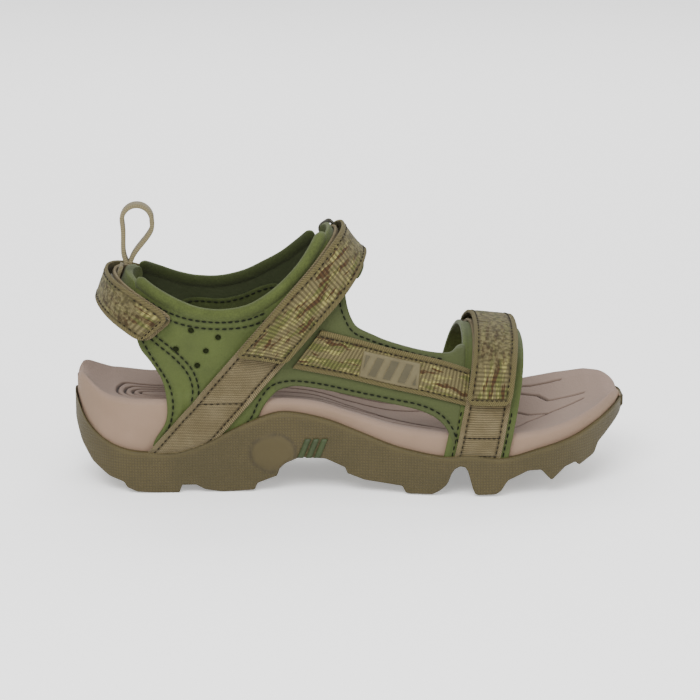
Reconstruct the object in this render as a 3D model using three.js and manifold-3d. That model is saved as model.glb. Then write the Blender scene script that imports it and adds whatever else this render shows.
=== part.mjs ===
// Strappy sport sandal for the right foot, about EU 36, in millimetres.
// +X points to the toe, -Y to the outer (lateral) side, +Z up. The sole stands on z = 0 and is centred on x = y = 0.
import * as THREE from "three";
import { mergeVertices } from "three/addons/utils/BufferGeometryUtils.js";
import Module from "manifold-3d";

// Driving dimensions
const SOLE_LENGTH = 240;
const GAP = 0.35; // clearance between pieces that touch on the real sandal
const FOOTBED_THICKNESS = 6;
const FOOTBED_DISH = 4;
const MIDSOLE_INSET = 3.4; // midsole side wall, in from the edge of the outsole
const UPPER_INSET = 4.9; // inner face of the upper where it enters the sole
const SHELL = 1.8; // green shell thickness
const WEB = 1.4; // webbing thickness
const STRAP_WIDTH = 19;
const SPRING_RISE = 4; // height above the footbed rim where the upper starts to arch over
const ARCH_POWER = 2.2; // roundness of the foot form's cross-sections

// Heights above the foot form of the stacked layers of a closure
const LAYER = {
  shell: [0, SHELL],
  webbing: [2.25, 2.25 + WEB],
  loop: [4, 4.6],
  hook: [4.95, 5.55],
  flap: [6.1, 6.1 + WEB],
  ring: [4.1, 5.3],
};

const COLOUR = {
  outsole: 0x6c6044,
  foam: 0xa3917f,
  shell: 0x666c40,
  padding: 0x6c7748,
  webbing: 0x80745a,
  camo: 0x7d7450,
  trim: 0x4a4a2c,
  ring: 0x2e2c20,
};

const LATERAL = -1;
const MEDIAL = 1;

const wasm = await Module();
wasm.setup();

// ---------------------------------------------------------------- helpers

// A smooth function through hand-set [x, value] points.
function profile(points) {
  const slopes = points.map((_, i) => {
    const [xa, ya] = points[Math.max(i - 1, 0)];
    const [xb, yb] = points[Math.min(i + 1, points.length - 1)];
    return (yb - ya) / (xb - xa);
  });
  const last = points.length - 1;
  return (x) => {
    if (x <= points[0][0]) return points[0][1];
    if (x >= points[last][0]) return points[last][1];
    const i = points.findIndex((p) => p[0] > x) - 1;
    const span = points[i + 1][0] - points[i][0];
    const t = (x - points[i][0]) / span;
    const rise = (1 - t) ** 2 * (1 + 2 * t) * points[i][1] + t ** 2 * (3 - 2 * t) * points[i + 1][1];
    return rise + span * t * (1 - t) * ((1 - t) * slopes[i] - t * slopes[i + 1]);
  };
}

// The same function on straight lines, for edges that have corners.
function polyline(points) {
  return (x) => {
    const i = Math.min(Math.max(points.findIndex((p) => p[0] > x) - 1, 0), points.length - 2);
    const [[xa, ya], [xb, yb]] = [points[i], points[i + 1]];
    return ya + ((yb - ya) * (Math.min(Math.max(x, points[0][0]), points.at(-1)[0]) - xa)) / (xb - xa);
  };
}

function facingOut(geometry) {
  const p = geometry.attributes.position;
  const index = geometry.index.array;
  const [a, b, c] = [new THREE.Vector3(), new THREE.Vector3(), new THREE.Vector3()];
  let volume = 0;
  for (let i = 0; i < index.length; i += 3) {
    a.fromBufferAttribute(p, index[i]);
    b.fromBufferAttribute(p, index[i + 1]);
    c.fromBufferAttribute(p, index[i + 2]);
    volume += a.dot(b.cross(c));
  }
  if (volume < 0) {
    for (let i = 0; i < index.length; i += 3) {
      [index[i + 1], index[i + 2]] = [index[i + 2], index[i + 1]];
    }
  }
  return geometry;
}

// A box of nu by nv cells whose corners (u, v, w), each 0 to 1, are moved to map(u, v, w).
function warpedBox(nu, nv, map) {
  const geometry = new THREE.BoxGeometry(1, 1, 1, nu, nv, 1);
  const p = geometry.attributes.position;
  for (let i = 0; i < p.count; i++) {
    const q = map(p.getX(i) + 0.5, p.getY(i) + 0.5, p.getZ(i) + 0.5);
    p.setXYZ(i, q.x, q.y, q.z);
  }
  return facingOut(geometry);
}

function toSolid(geometry) {
  const bare = geometry.clone();
  bare.deleteAttribute("normal");
  bare.deleteAttribute("uv");
  const merged = mergeVertices(bare, 1e-4);
  return new wasm.Manifold(
    new wasm.Mesh({
      numProp: 3,
      vertProperties: merged.attributes.position.array,
      triVerts: new Uint32Array(merged.index.array),
    }),
  );
}

function toGeometry(solid) {
  const mesh = solid.getMesh();
  const geometry = new THREE.BufferGeometry();
  geometry.setAttribute("position", new THREE.BufferAttribute(new Float32Array(mesh.vertProperties), 3));
  geometry.setIndex(new THREE.BufferAttribute(new Uint32Array(mesh.triVerts), 1));
  geometry.computeVertexNormals();
  return geometry;
}

function cut(geometry, ...cutters) {
  return toGeometry(cutters.reduce((left, cutter) => left.subtract(toSolid(cutter)), toSolid(geometry)));
}

function common(geometry, other) {
  return toGeometry(toSolid(geometry).intersect(toSolid(other)));
}

// An outline in the x-z plane, extruded along y from y0 to y1.
function sideExtrusion(shape, y0, y1, steps = 1) {
  const geometry = new THREE.ExtrudeGeometry(shape, { depth: y1 - y0, bevelEnabled: false, steps, curveSegments: 4 });
  geometry.rotateX(Math.PI / 2);
  geometry.translate(0, y1, 0);
  return geometry;
}

const outline = (points) => new THREE.Shape(points.map(([x, z]) => new THREE.Vector2(x, z)));

// Points along a smooth curve through [x, z] points.
function smooth(points, count) {
  const curve = new THREE.CatmullRomCurve3(points.map(([x, z]) => new THREE.Vector3(x, 0, z)), false, "centripetal");
  return curve.getSpacedPoints(count).map((p) => [p.x, p.z]);
}

// ---------------------------------------------------------------- sole shape

const halfLength = SOLE_LENGTH / 2;
const TIP = 0.4; // the rounded ends stop this far short of their poles
const HEEL_ROUND = 30;
const TOE_ROUND = 36;

const breadth = profile([
  [-120, 31], [-95, 33], [-70, 33.2], [-45, 32], [-20, 31], [0, 32.2], [20, 36.6], [45, 42.6],
  [62, 45], [80, 44.2], [95, 41.4], [108, 38.4], [120, 36],
]);
const middle = profile([
  [-120, 0], [-60, 0], [-20, -2.5], [0, -3], [20, -2.5], [45, -1.4], [62, 0], [74, 0], [88, 1.2], [100, 3], [112, 6],
  [120, 8],
]);
const rimHeight = profile([
  [-120, 45], [-108, 43], [-90, 41.3], [-32, 41], [-15, 39.5], [0, 35], [21, 29.4], [45, 27.4],
  [70, 27.4], [90, 30], [106, 34], [120, 39.5],
]);
const cupEdge = profile([
  [-120, 38.8], [-115.5, 30], [-109, 24], [-100, 20], [-89, 18.4], [-76, 18], [-62, 22.6], [-52.6, 27.6],
  [-43, 32], [-32, 35.6], [-22.7, 35.2], [-10, 32.2], [2.6, 27.4], [18, 21.6], [31, 18.7], [40, 17.7], [50, 18.6],
  [65.5, 17.4], [81, 21], [97, 25.4], [109.6, 31.4], [117, 35.4], [120, 36.6],
]);
const cupFloor = profile([
  [-120, 26], [-110, 19], [-100, 12.5], [-88, 9.6], [-52, 9.6], [-38, 13.4], [-22, 19.6], [-8, 18.6],
  [6, 13.6], [24, 9.6], [36, 10.4], [50, 13.8], [62, 10.4], [72, 10], [84, 13.4], [98, 18.2], [110, 24.4], [120, 31],
]);

function endCap(x) {
  const fromHeel = Math.min((x + halfLength + TIP) / HEEL_ROUND, 1);
  const fromToe = Math.min((halfLength + TIP - x) / TOE_ROUND, 1);
  const round = (d) => Math.sqrt(Math.max(0, 1 - (1 - d) ** 2));
  return round(fromHeel) * round(fromToe);
}

// Distance of the sole's edge from the x axis, on one side, less an inset all round.
function soleEdge(side, x, inset = 0) {
  const stretched = (x * halfLength) / (halfLength - inset);
  return breadth(x) * endCap(stretched) - inset * Math.min(1, endCap(stretched) * 2) + side * middle(x);
}

// A slab on the sole's plan, between two surfaces bottom(x, v) and top(x, v), where v runs from -1 to 1 across.
function soleSlab(inset, bottom, top, nx, ny) {
  const reach = halfLength - inset;
  return warpedBox(nx, ny, (u, v, w) => {
    const x = -reach * Math.cos(Math.PI * u);
    const across = 2 * v - 1;
    const y0 = -soleEdge(LATERAL, x, inset);
    const y1 = soleEdge(MEDIAL, x, inset);
    return new THREE.Vector3(x, y0 + (y1 - y0) * v, w > 0.5 ? top(x, across) : bottom(x, across));
  });
}

const dish = (x, v) => FOOTBED_DISH * (1 - v ** 2) * Math.sqrt(endCap(x));
const footbedTop = (x, v) => rimHeight(x) - dish(x, v);
const footbedBottom = (x, v) => rimHeight(x) - FOOTBED_THICKNESS - 0.6 * dish(x, v);

// ---------------------------------------------------------------- foot form

const ridge = profile([
  [-60, 175], [-40, 162], [-25, 140], [-16, 121], [-10, 111], [-3, 100.5], [3, 94.5], [20, 84],
  [38, 70], [50, 63.6], [60, 62], [72, 60.4], [84, 57],
]);
const springLine = (x) => rimHeight(x) + SPRING_RISE;
const HEEL = { x: -80, reach: 21.5, breadth: 27, lean: 0.36, level: 84.6, flare: 0.065 };

// The heel's half breadth at a plan position that has been moved back by the heel's lean.
function heelBreadth(plan) {
  if (plan > HEEL.x) return HEEL.breadth + HEEL.flare * (plan - HEEL.x);
  return HEEL.breadth * Math.sqrt(Math.max(0, 1 - ((plan - HEEL.x) / HEEL.reach) ** 2));
}

function wallBreadth(side, x, z) {
  const plan = x - HEEL.lean * (Math.max(z, 62) - HEEL.level);
  const sole = soleEdge(side, x) - UPPER_INSET;
  return x < -30 ? Math.min(sole, heelBreadth(plan)) : sole;
}

// Distance of the foot form's surface from the x-z plane.
function formBreadth(side, x, z) {
  const base = springLine(x);
  const rise = Math.min(Math.max((z - base) / (ridge(x) - base), 0), 0.999);
  return wallBreadth(side, x, z) * (1 - rise ** ARCH_POWER) ** (1 / ARCH_POWER);
}

// A point on one side of the foot form, moved out along its normal.
function sidePoint(side, x, z, lift) {
  const e = 0.5;
  const at = formBreadth(side, x, z);
  const slopeX = (formBreadth(side, x + e, z) - formBreadth(side, x - e, z)) / (2 * e);
  const slopeZ = (formBreadth(side, x, z + e) - formBreadth(side, x, z - e)) / (2 * e);
  const normal = new THREE.Vector3(-slopeX, side, -slopeZ).normalize();
  return new THREE.Vector3(x, side * at, z).addScaledVector(normal, lift);
}

// A band that crosses over the foot in a plane leaning forward. Places along it are millimetres from the ridge,
// negative on the lateral side; v is across it, towards the toe.
function overStrap({ x, z, lean }) {
  const along = new THREE.Vector2(lean, 1).normalize();
  const across = new THREE.Vector2(along.y, -along.x);
  const LEG_STEP = 0.02;
  function point(s, v) {
    const x0 = x + across.x * v;
    const z0 = z + across.y * v;
    const onPlane = (height) => x0 + lean * (height - z0);
    const side = s < 0.5 ? LATERAL : MEDIAL;
    if (s < 0 || s > 1) {
      const below = s < 0 ? -s : s - 1;
      let spring = springLine(onPlane(z0 + 20));
      for (let i = 0; i < 6; i++) spring = springLine(onPlane(spring));
      const height = spring - (below / LEG_STEP);
      return new THREE.Vector3(onPlane(height), side * wallBreadth(side, onPlane(height), height), height);
    }
    const angle = Math.PI * s;
    const rise = Math.sin(angle) ** (2 / ARCH_POWER);
    let [low, high] = [20, 150];
    for (let i = 0; i < 40; i++) {
      const height = (low + high) / 2;
      const base = springLine(onPlane(height));
      if (height < base + (ridge(onPlane(height)) - base) * rise) low = height;
      else high = height;
    }
    const reach = Math.abs(Math.cos(angle)) ** (2 / ARCH_POWER);
    return new THREE.Vector3(onPlane(low), side * wallBreadth(side, onPlane(low), low) * reach, low);
  }
  return ruled(point, -0.8, 1.8, 0.5);
}

// A band round the back of the heel. Places along it are millimetres from the middle of the back, negative laterally.
function heelStrap() {
  const SLOPE = 0.663;
  const tilt = Math.atan(SLOPE);
  function point(s, v) {
    const angle = Math.PI * (s - 0.5);
    const straight = Math.max(0, Math.abs(angle) - Math.PI / 2) * HEEL.breadth;
    const side = Math.sign(angle) || 1;
    const slant = Math.min(Math.abs(angle) / (Math.PI / 2), 1) * v * Math.sin(tilt);
    const bend = Math.min(Math.abs(angle), Math.PI / 2);
    const plan = HEEL.x - HEEL.reach * Math.cos(bend) + straight + slant * (bend / (Math.PI / 2)) ** 2;
    const rise = v * Math.sqrt(1 + (SLOPE * Math.sin(bend)) ** 2);
    const back = HEEL.x - HEEL.reach;
    const px = (plan + SLOPE * HEEL.lean * back + HEEL.lean * rise) / (1 + SLOPE * HEEL.lean);
    const py = straight > 0 ? HEEL.breadth + HEEL.flare * straight : HEEL.breadth * Math.sin(bend);
    return new THREE.Vector3(px, side * py, HEEL.level + rise - SLOPE * (px - back));
  }
  return ruled(point, -0.4, 1.4, 0.5);
}

// Wraps point(s, v) so that places along its middle line are told in millimetres from s = origin.
function ruled(point, from, to, origin) {
  const STEPS = 520;
  const lengths = [];
  let total = 0;
  let before = point(from, 0);
  for (let i = 0; i <= STEPS; i++) {
    const s = from + ((to - from) * i) / STEPS;
    const here = point(s, 0);
    total += here.distanceTo(before);
    before = here;
    lengths.push([s, total]);
  }
  const zero = polyline(lengths)(origin);
  const toS = polyline(lengths.map(([s, l]) => [l - zero, s]));
  return {
    at(mm, v, lift) {
      const s = toS(mm);
      const e = 0.004;
      const along = point(s + e, v).sub(point(s - e, v));
      const across = point(s, v + 0.5).sub(point(s, v - 0.5));
      const normal = across.cross(along).normalize();
      const here = point(s, v);
      const outward = new THREE.Vector3(here.x < -88 ? here.x + 60 : 0, here.y, here.z - 30);
      if (normal.dot(outward) < 0) normal.negate();
      return here.addScaledVector(normal, lift);
    },
  };
}

const ankle = overStrap({ x: -73, z: 21, lean: 0.881 });
const toe = overStrap({ x: 54.2, z: 19, lean: 0.2 });
const heel = heelStrap();

// A flat band on a strap's surface from one place to another, with its two lifts.
function band(surface, from, to, width, [inner, outer], nu, nv = 2, shift = 0) {
  return warpedBox(nu, nv, (u, v, w) =>
    surface.at(from + (to - from) * u, (v - 0.5) * width + shift, w > 0.5 ? outer : inner),
  );
}

// A patch on one side of the foot form between a lower and an upper edge, each given by [x, z] points.
function sidePatch(side, lower, upper, [inner, outer], nu, nv = 2) {
  const low = smooth(lower, nu);
  const high = smooth(upper, nu);
  return warpedBox(nu, nv, (u, v, w) => {
    const i = Math.round(u * nu);
    const x = low[i][0] + (high[i][0] - low[i][0]) * v;
    const z = low[i][1] + (high[i][1] - low[i][1]) * v;
    return sidePoint(side, x, z, w > 0.5 ? outer : inner);
  });
}

// A curved shell on one side of the foot form, cut to an outline in the x-z plane.
function sideShell(side, points, [inner, outer], nx, nz) {
  const xs = points.map((p) => p[0]);
  const zs = points.map((p) => p[1]);
  const [x0, x1] = [Math.min(...xs) - 1, Math.max(...xs) + 1];
  const [z0, z1] = [Math.min(...zs) - 1, Math.max(...zs) + 1];
  const sheet = warpedBox(nx, nz, (u, v, w) => {
    const x = x0 + (x1 - x0) * u;
    const top = Math.min(z1, ridge(x) - 3);
    return sidePoint(side, x, z0 + (top - z0) * v, w > 0.5 ? outer : inner);
  });
  return common(sheet, sideExtrusion(outline(points), -70, 70));
}

// A round bar along a route on one side of the foot form.
function sideTube(side, points, lift, radius, steps) {
  const route = new THREE.CatmullRomCurve3(points.map(([x, z]) => sidePoint(side, x, z, lift)));
  const section = new THREE.Shape().absarc(0, 0, radius, 0, 2 * Math.PI);
  return new THREE.ExtrudeGeometry(section, { extrudePath: route, steps, curveSegments: 4, bevelEnabled: false });
}

// ---------------------------------------------------------------- assembly

const sandal = new THREE.Group();
sandal.name = "strappy_sport_sandal";

function add(name, geometry, colour, roughness = 0.8, metalness = 0) {
  const material = new THREE.MeshStandardMaterial({ color: colour, roughness, metalness });
  const mesh = new THREE.Mesh(geometry, material);
  mesh.name = name;
  sandal.add(mesh);
}

// ---- upper outlines, as [x, z] on the side of the foot form
const COLLAR_ROLL = 2.3;
const collarLateral = [[-91, 92.6], [-84, 88], [-75, 83], [-66, 79.6], [-56, 78.4], [-45, 80], [-36, 84.6], [-28, 91], [-21, 98.4], [-15.5, 106]];
const collarMedial = [[-91, 92.6], [-84, 88.5], [-75, 83.5], [-66, 80], [-56, 79.4], [-45, 83], [-36, 88], [-28, 93], [-21, 99.5], [-15.5, 106]];
const COLLAR_DROP = COLLAR_ROLL + GAP + 0.4;

// The same edge moved down, square to itself.
function below(points) {
  return points.map(([x, z], i) => {
    const [xa, za] = points[Math.max(i - 1, 0)];
    const [xb, zb] = points[Math.min(i + 1, points.length - 1)];
    const length = Math.hypot(xb - xa, zb - za);
    return [x + (COLLAR_DROP * (zb - za)) / length, z - (COLLAR_DROP * (xb - xa)) / length];
  });
}

const lateralQuarter = [
  ...smooth(below(collarLateral), 18),
  [-3.5, 92.5],
  ...smooth([[-3, 87], [-1.6, 79.6], [0.4, 74.6], [2.8, 71.6], [9.5, 68.4], [16.2, 65.7], [31.5, 61.2], [41.6, 59]], 10),
  ...smooth([[41.6, 28.6], [39.4, 31.6], [35.6, 35], [29, 37.9], [18, 40.7], [2.6, 44.4], [-13, 48.7], [-25, 51], [-33, 50.4], [-38, 46], [-43.9, 38], [-49.4, 33], [-60.5, 24], [-66, 13.5]], 20),
  ...smooth([[-86, 13.5], [-85, 22], [-79, 31], [-78, 39], [-80, 49.4], [-85, 57.5], [-90, 63.6], [-92.6, 72], [-92.4, 82]], 12),
];
const medialQuarter = [
  ...smooth(below(collarMedial), 18),
  [-6, 91],
  ...smooth([[-8, 84], [-17, 73], [-27, 61], [-36, 51], [-47, 39], [-58, 27], [-66, 13.5]], 10),
  ...smooth([[-86, 13.5], [-85, 22], [-79, 31], [-78, 39], [-80, 49.4], [-85, 57.5], [-90, 63.6], [-92.6, 72], [-92.4, 82]], 12),
];

// ---- where each closure starts and ends, in millimetres along its strap from the ridge or the back of the heel
const CLOSURES = {
  ankle: { surface: ankle, width: STRAP_WIDTH, bar: 9, hinge: -50, end: -70, patch: [-64, -12], lower: -129 },
  toe: { surface: toe, width: STRAP_WIDTH, bar: 28, hinge: -32, end: -51, patch: [-46, -6], lower: -76 },
  heel: { surface: heel, width: 16.5, bar: 31, hinge: -24, end: -41, patch: [-39, -4], lower: -44 },
};
const RING = { length: 10.2, bar: 1.4, wall: 2.2, overhang: 3 }; // bar: the slim side that the flap turns about
const SEAM = 0.5; // gap between a flap and its tab
const KEEPER = 11;

// ---- sole, with slots for the legs of the upper and pockets for the parts inside it
const legOutline = [
  [-95.4, 11], [-62.5, 11], [-54.6, 21], [-46.6, 31], [-41.5, 38.6], [-35, 48], [-83, 48], [-79.6, 42], [-82, 31],
];
const slotDepth = [-GAP, LAYER.webbing[1] + GAP];
const slots = [
  sideShell(LATERAL, legOutline, slotDepth, 12, 8),
  sideShell(MEDIAL, legOutline, slotDepth, 12, 8),
  band(toe, -82, -45, 28, slotDepth, 8, 4, -0.5),
  band(toe, 45, 82, 28, slotDepth, 8, 4, -0.5),
];

const treadProfile = outline([
  [-122, 60], [-122, 34], [-119, 24], [-115.5, 17], [-107.6, 9], [-101, 4], [-99.6, 0], [-77, 0], [-76, 3.6],
  [-72.6, 3.6], [-71.4, 0], [-41.6, 0], [-40.6, 5], [-32, 6], [-29.8, 10], [-22.7, 14], [-10, 13.4], [-1.3, 10],
  [0.9, 6.6], [7, 6], [8.4, 3.8], [24.7, 3.8], [25.6, 0], [42, 0], [45.6, 4.6], [48, 9.2], [51.6, 9.6], [53.6, 6],
  [55.4, 0], [69, 0], [72, 3], [80, 6.2], [84, 8.6], [87.6, 6], [91, 5.4], [97, 10.4], [100, 9.6], [104.4, 12],
  [109.6, 17.4], [112, 17], [117, 23], [119.4, 30], [122, 38], [122, 60],
]);
const grooves = [
  new THREE.BoxGeometry(44, 5, 5).translate(-64, 0, 0),
  new THREE.BoxGeometry(56, 4.4, 5).translate(58, 13, 0),
  new THREE.BoxGeometry(56, 4.4, 5).translate(58, -13, 0),
];
const cup = soleSlab(MIDSOLE_INSET - GAP, cupFloor, () => 70, 36, 1);
const tread = common(
  soleSlab(0, () => -1, (x) => cupEdge(x), 52, 1),
  sideExtrusion(treadProfile, -60, 60),
);
add("outsole", cut(tread, cup, ...slots, ...grooves), COLOUR.outsole, 0.75);

const SHANK = { x0: -52, x1: 34, halfWidth: 8, thickness: 1.6 };
const PAD = { x: -84, radius: 14, thickness: 4 };
function shankPlate(grow) {
  return warpedBox(16, 1, (u, v, w) => {
    const x = SHANK.x0 - grow + (SHANK.x1 - SHANK.x0 + 2 * grow) * u;
    const top = rimHeight(x) - FOOTBED_THICKNESS - 0.6 * FOOTBED_DISH - 2 * GAP;
    const z = w > 0.5 ? top + (grow ? 8 : 0) : top - SHANK.thickness - grow;
    return new THREE.Vector3(x, (2 * v - 1) * (SHANK.halfWidth + grow) - 2, z);
  });
}
function shockPad(grow) {
  const top = rimHeight(PAD.x) - FOOTBED_THICKNESS - 0.6 * FOOTBED_DISH - 2 * GAP - 0.4;
  const height = PAD.thickness + (grow ? 10 : 0);
  const radius = PAD.radius + grow;
  const disc = new THREE.LatheGeometry(
    [[0, 0], [radius, 0], [radius, height], [0, height]].map(([r, h]) => new THREE.Vector2(r, h)),
    24,
  );
  disc.rotateX(Math.PI / 2);
  disc.translate(PAD.x, 0, top - PAD.thickness - grow);
  return disc;
}
const midsole = soleSlab(
  MIDSOLE_INSET,
  (x) => cupFloor(x) + GAP,
  (x, v) => footbedBottom(x, v) - GAP,
  36,
  4,
);
add("midsole", cut(midsole, ...slots, shankPlate(GAP), shockPad(GAP)), COLOUR.foam, 0.9);
add("footbed", cut(soleSlab(MIDSOLE_INSET, footbedBottom, footbedTop, 36, 6), ...slots), COLOUR.foam, 0.9);
add("shank", shankPlate(0), COLOUR.ring, 0.5);
add("heel_shock_pad", shockPad(0), COLOUR.trim, 0.9);

const EMBLEM = { x: -17, z: 19.7, width: 10, height: 9, thickness: 0.7 };
add(
  "sole_emblem",
  warpedBox(4, 1, (u, v, w) => {
    const x = EMBLEM.x + (u - 0.5) * EMBLEM.width + (v - 0.5) * 2;
    const z = EMBLEM.z + (v - 0.5) * EMBLEM.height;
    return new THREE.Vector3(x, -soleEdge(LATERAL, x) - GAP - w * EMBLEM.thickness, z);
  }),
  COLOUR.shell,
  0.6,
);

// ---- soft shell and padding
add("lateral_quarter", sideShell(LATERAL, lateralQuarter, LAYER.shell, 30, 14), COLOUR.shell);
add("medial_quarter", sideShell(MEDIAL, medialQuarter, LAYER.shell, 18, 12), COLOUR.shell);
add("collar_roll_lateral", sideTube(LATERAL, collarLateral, 0.6, COLLAR_ROLL, 22), COLOUR.padding);
add("collar_roll_medial", sideTube(MEDIAL, collarMedial, 0.6, COLLAR_ROLL, 22), COLOUR.padding);
add("toe_pad", band(toe, -78, 78, 27, LAYER.shell, 36, 4, -0.5), COLOUR.shell);
add("instep_pad", band(ankle, -15, 14, 24, LAYER.shell, 10, 4), COLOUR.shell);
add("heel_pad", band(heel, -21, 21, 20, [-4.4, -0.6], 14, 2), COLOUR.padding);

// ---- webbing sewn to the shell
for (const [name, c] of Object.entries(CLOSURES)) {
  add(`${name}_strap_lateral`, band(c.surface, c.lower, c.bar, c.width, LAYER.webbing, 32), COLOUR.webbing);
}
add("ankle_strap_medial", band(ankle, 19, 126, STRAP_WIDTH, LAYER.webbing, 28), COLOUR.webbing);
add("toe_strap_medial", band(toe, 38, 76, STRAP_WIDTH, LAYER.webbing, 12), COLOUR.webbing);
add("heel_strap_medial", band(heel, 41, 52, 16.5, LAYER.webbing, 5), COLOUR.webbing);

const instepLateral = {
  lower: [[-25.4, 55], [-4, 50.8], [15, 46.8], [34, 43], [48.1, 39.6]],
  upper: [[-13, 71.2], [0, 67.4], [15, 63.2], [34, 57.8], [48.1, 52.8]],
};
const instepMedial = {
  lower: [[-40.4, 42.4], [-20, 39.6], [0, 36.4], [20, 33.2], [46.2, 31]],
  upper: [[-29, 53.4], [-15, 49.6], [0, 46], [20, 43], [46.2, 40.4]],
};
add("instep_strap_lateral", sidePatch(LATERAL, instepLateral.lower, instepLateral.upper, LAYER.webbing, 18), COLOUR.camo);
add("instep_strap_medial", sidePatch(MEDIAL, instepMedial.lower, instepMedial.upper, LAYER.webbing, 16), COLOUR.camo);
add(
  "instep_badge",
  sidePatch(LATERAL, [[3, 52.4], [16, 49.6], [29, 46.8]], [[4.6, 62.6], [17, 59.6], [29.6, 56.4]], [3.9, 4.9], 8),
  COLOUR.trim,
);

// ---- closures: a ring on the medial side, a flap that comes back from it and a tab at the flap's end
for (const [name, c] of Object.entries(CLOSURES)) {
  const bar = c.bar - RING.bar / 2;
  const far = bar + RING.length;
  const plate = band(c.surface, bar, far, c.width + 2 * RING.overhang, LAYER.ring, 6, 4);
  const hole = band(c.surface, bar + RING.bar, far - RING.wall, c.width + 1.4, [0, 10], 4, 2);
  add(`${name}_ring`, cut(plate, hole), COLOUR.ring, 0.4);
  const keeper = band(c.surface, far - 1.2, far + KEEPER, c.width - 1, LAYER.flap, 6, 4);
  add(`${name}_ring_keeper`, keeper, COLOUR.webbing);
  add(`${name}_loop_patch`, band(c.surface, ...c.patch, c.width - 3, LAYER.loop, 18, 1), COLOUR.trim, 1);
  const seam = c.hinge + SEAM / 2;
  add(`${name}_hook_patch`, band(c.surface, c.end + 3, c.hinge - 1, c.width - 3, LAYER.hook, 6, 1), COLOUR.trim, 1);
  add(`${name}_flap`, band(c.surface, seam, c.bar, c.width, LAYER.flap, 22), COLOUR.camo);
  add(`${name}_tab`, band(c.surface, c.end, seam - SEAM, c.width, LAYER.flap, 8), COLOUR.camo);
}

// ---- pull loop on the back of the heel, standing up between the padding and the heel strap
const LOOP = { width: 7, thickness: 1.6, reach: 14.6, foot: [-98.2, 96.4], top: [-93.4, 123], tongue: 13 };
const teardrop = (inset) => {
  const [fx, fz] = LOOP.foot;
  const [tx, tz] = LOOP.top;
  const half = LOOP.reach / 2 - inset;
  const base = 0.9 - Math.min(inset, 0.85);
  const lift = inset * 3;
  const round = tz - LOOP.reach / 2;
  const shape = new THREE.Shape();
  shape.moveTo(fx - base, fz + lift);
  shape.bezierCurveTo(fx - base, fz + lift + 6, tx - half, round - 9, tx - half, round);
  shape.absarc(tx, round, half, Math.PI, 0, true);
  shape.bezierCurveTo(tx + half, round - 9, fx + base, fz + lift + 6, fx + base, fz + lift);
  return shape;
};
const loopSolid = sideExtrusion(teardrop(0), -LOOP.width / 2, LOOP.width / 2);
add("pull_loop", cut(loopSolid, sideExtrusion(teardrop(LOOP.thickness), -LOOP.width, LOOP.width)), COLOUR.webbing);
add("pull_loop_tongue", band(heel, -3.5, 3.5, LOOP.tongue, [0.1, 1.7], 2, 4, 5.2), COLOUR.webbing);

export default sandal;
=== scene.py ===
"""Visual model of a strappy sport sandal: rubber sole, foam footbed, soft shell, folded webbing closures."""
import math

import bmesh
import bpy
import numpy as np
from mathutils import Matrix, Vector
from mathutils.geometry import delaunay_2d_cdt


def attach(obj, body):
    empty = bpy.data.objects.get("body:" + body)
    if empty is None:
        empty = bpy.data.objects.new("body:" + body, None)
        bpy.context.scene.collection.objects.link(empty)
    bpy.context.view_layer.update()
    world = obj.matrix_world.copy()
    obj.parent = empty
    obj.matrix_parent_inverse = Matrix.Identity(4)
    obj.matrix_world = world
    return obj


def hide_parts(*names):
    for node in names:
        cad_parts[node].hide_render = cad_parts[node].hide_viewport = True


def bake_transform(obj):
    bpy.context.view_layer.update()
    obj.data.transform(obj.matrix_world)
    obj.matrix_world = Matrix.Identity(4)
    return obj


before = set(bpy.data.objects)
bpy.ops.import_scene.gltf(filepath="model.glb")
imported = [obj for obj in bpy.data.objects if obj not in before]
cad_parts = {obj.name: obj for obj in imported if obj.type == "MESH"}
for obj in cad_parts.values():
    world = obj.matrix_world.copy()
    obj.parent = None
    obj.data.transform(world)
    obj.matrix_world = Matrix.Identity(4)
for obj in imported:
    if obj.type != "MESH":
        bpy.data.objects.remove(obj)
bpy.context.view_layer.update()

# Lengths in this script are in millimetres; MM turns them into metres where a mesh is made.
MM = 0.001
CAMO_RIB = 1.6
LATERAL = -1
MEDIAL = 1

# ---------------------------------------------------------------- foot form and sole, as in the CAD part
SOLE_HALF = 120
HEEL_ROUND = 30
TOE_ROUND = 36
TIP = 0.4
UPPER_INSET = 4.9
MIDSOLE_INSET = 3.4
SPRING_RISE = 4
ARCH_POWER = 2.2
HEEL = {"x": -80, "reach": 21.5, "breadth": 27, "lean": 0.36, "level": 84.6, "flare": 0.065, "slope": 0.663}
LAYER = {
    "shell": (0, 1.8),
    "webbing": (2.25, 3.65),
    "ring": (4.1, 5.3),
    "flap": (6.1, 7.5),
}
CLOSURES = {
    "ankle": {"width": 19, "bar": 9, "hinge": -50, "end": -70, "lower": -129, "corner": 3.6},
    "toe": {"width": 19, "bar": 28, "hinge": -32, "end": -48.8, "lower": -73, "corner": 3.6},
    "heel": {"width": 16.5, "bar": 31, "hinge": -24, "end": -38.6, "lower": -40.4, "corner": 4.8},
}
RING = {"length": 10.2, "bar": 1.4, "wall": 2.2, "overhang": 3, "slim": 0.64, "stout": 1.1, "tall": 0.62}


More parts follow.
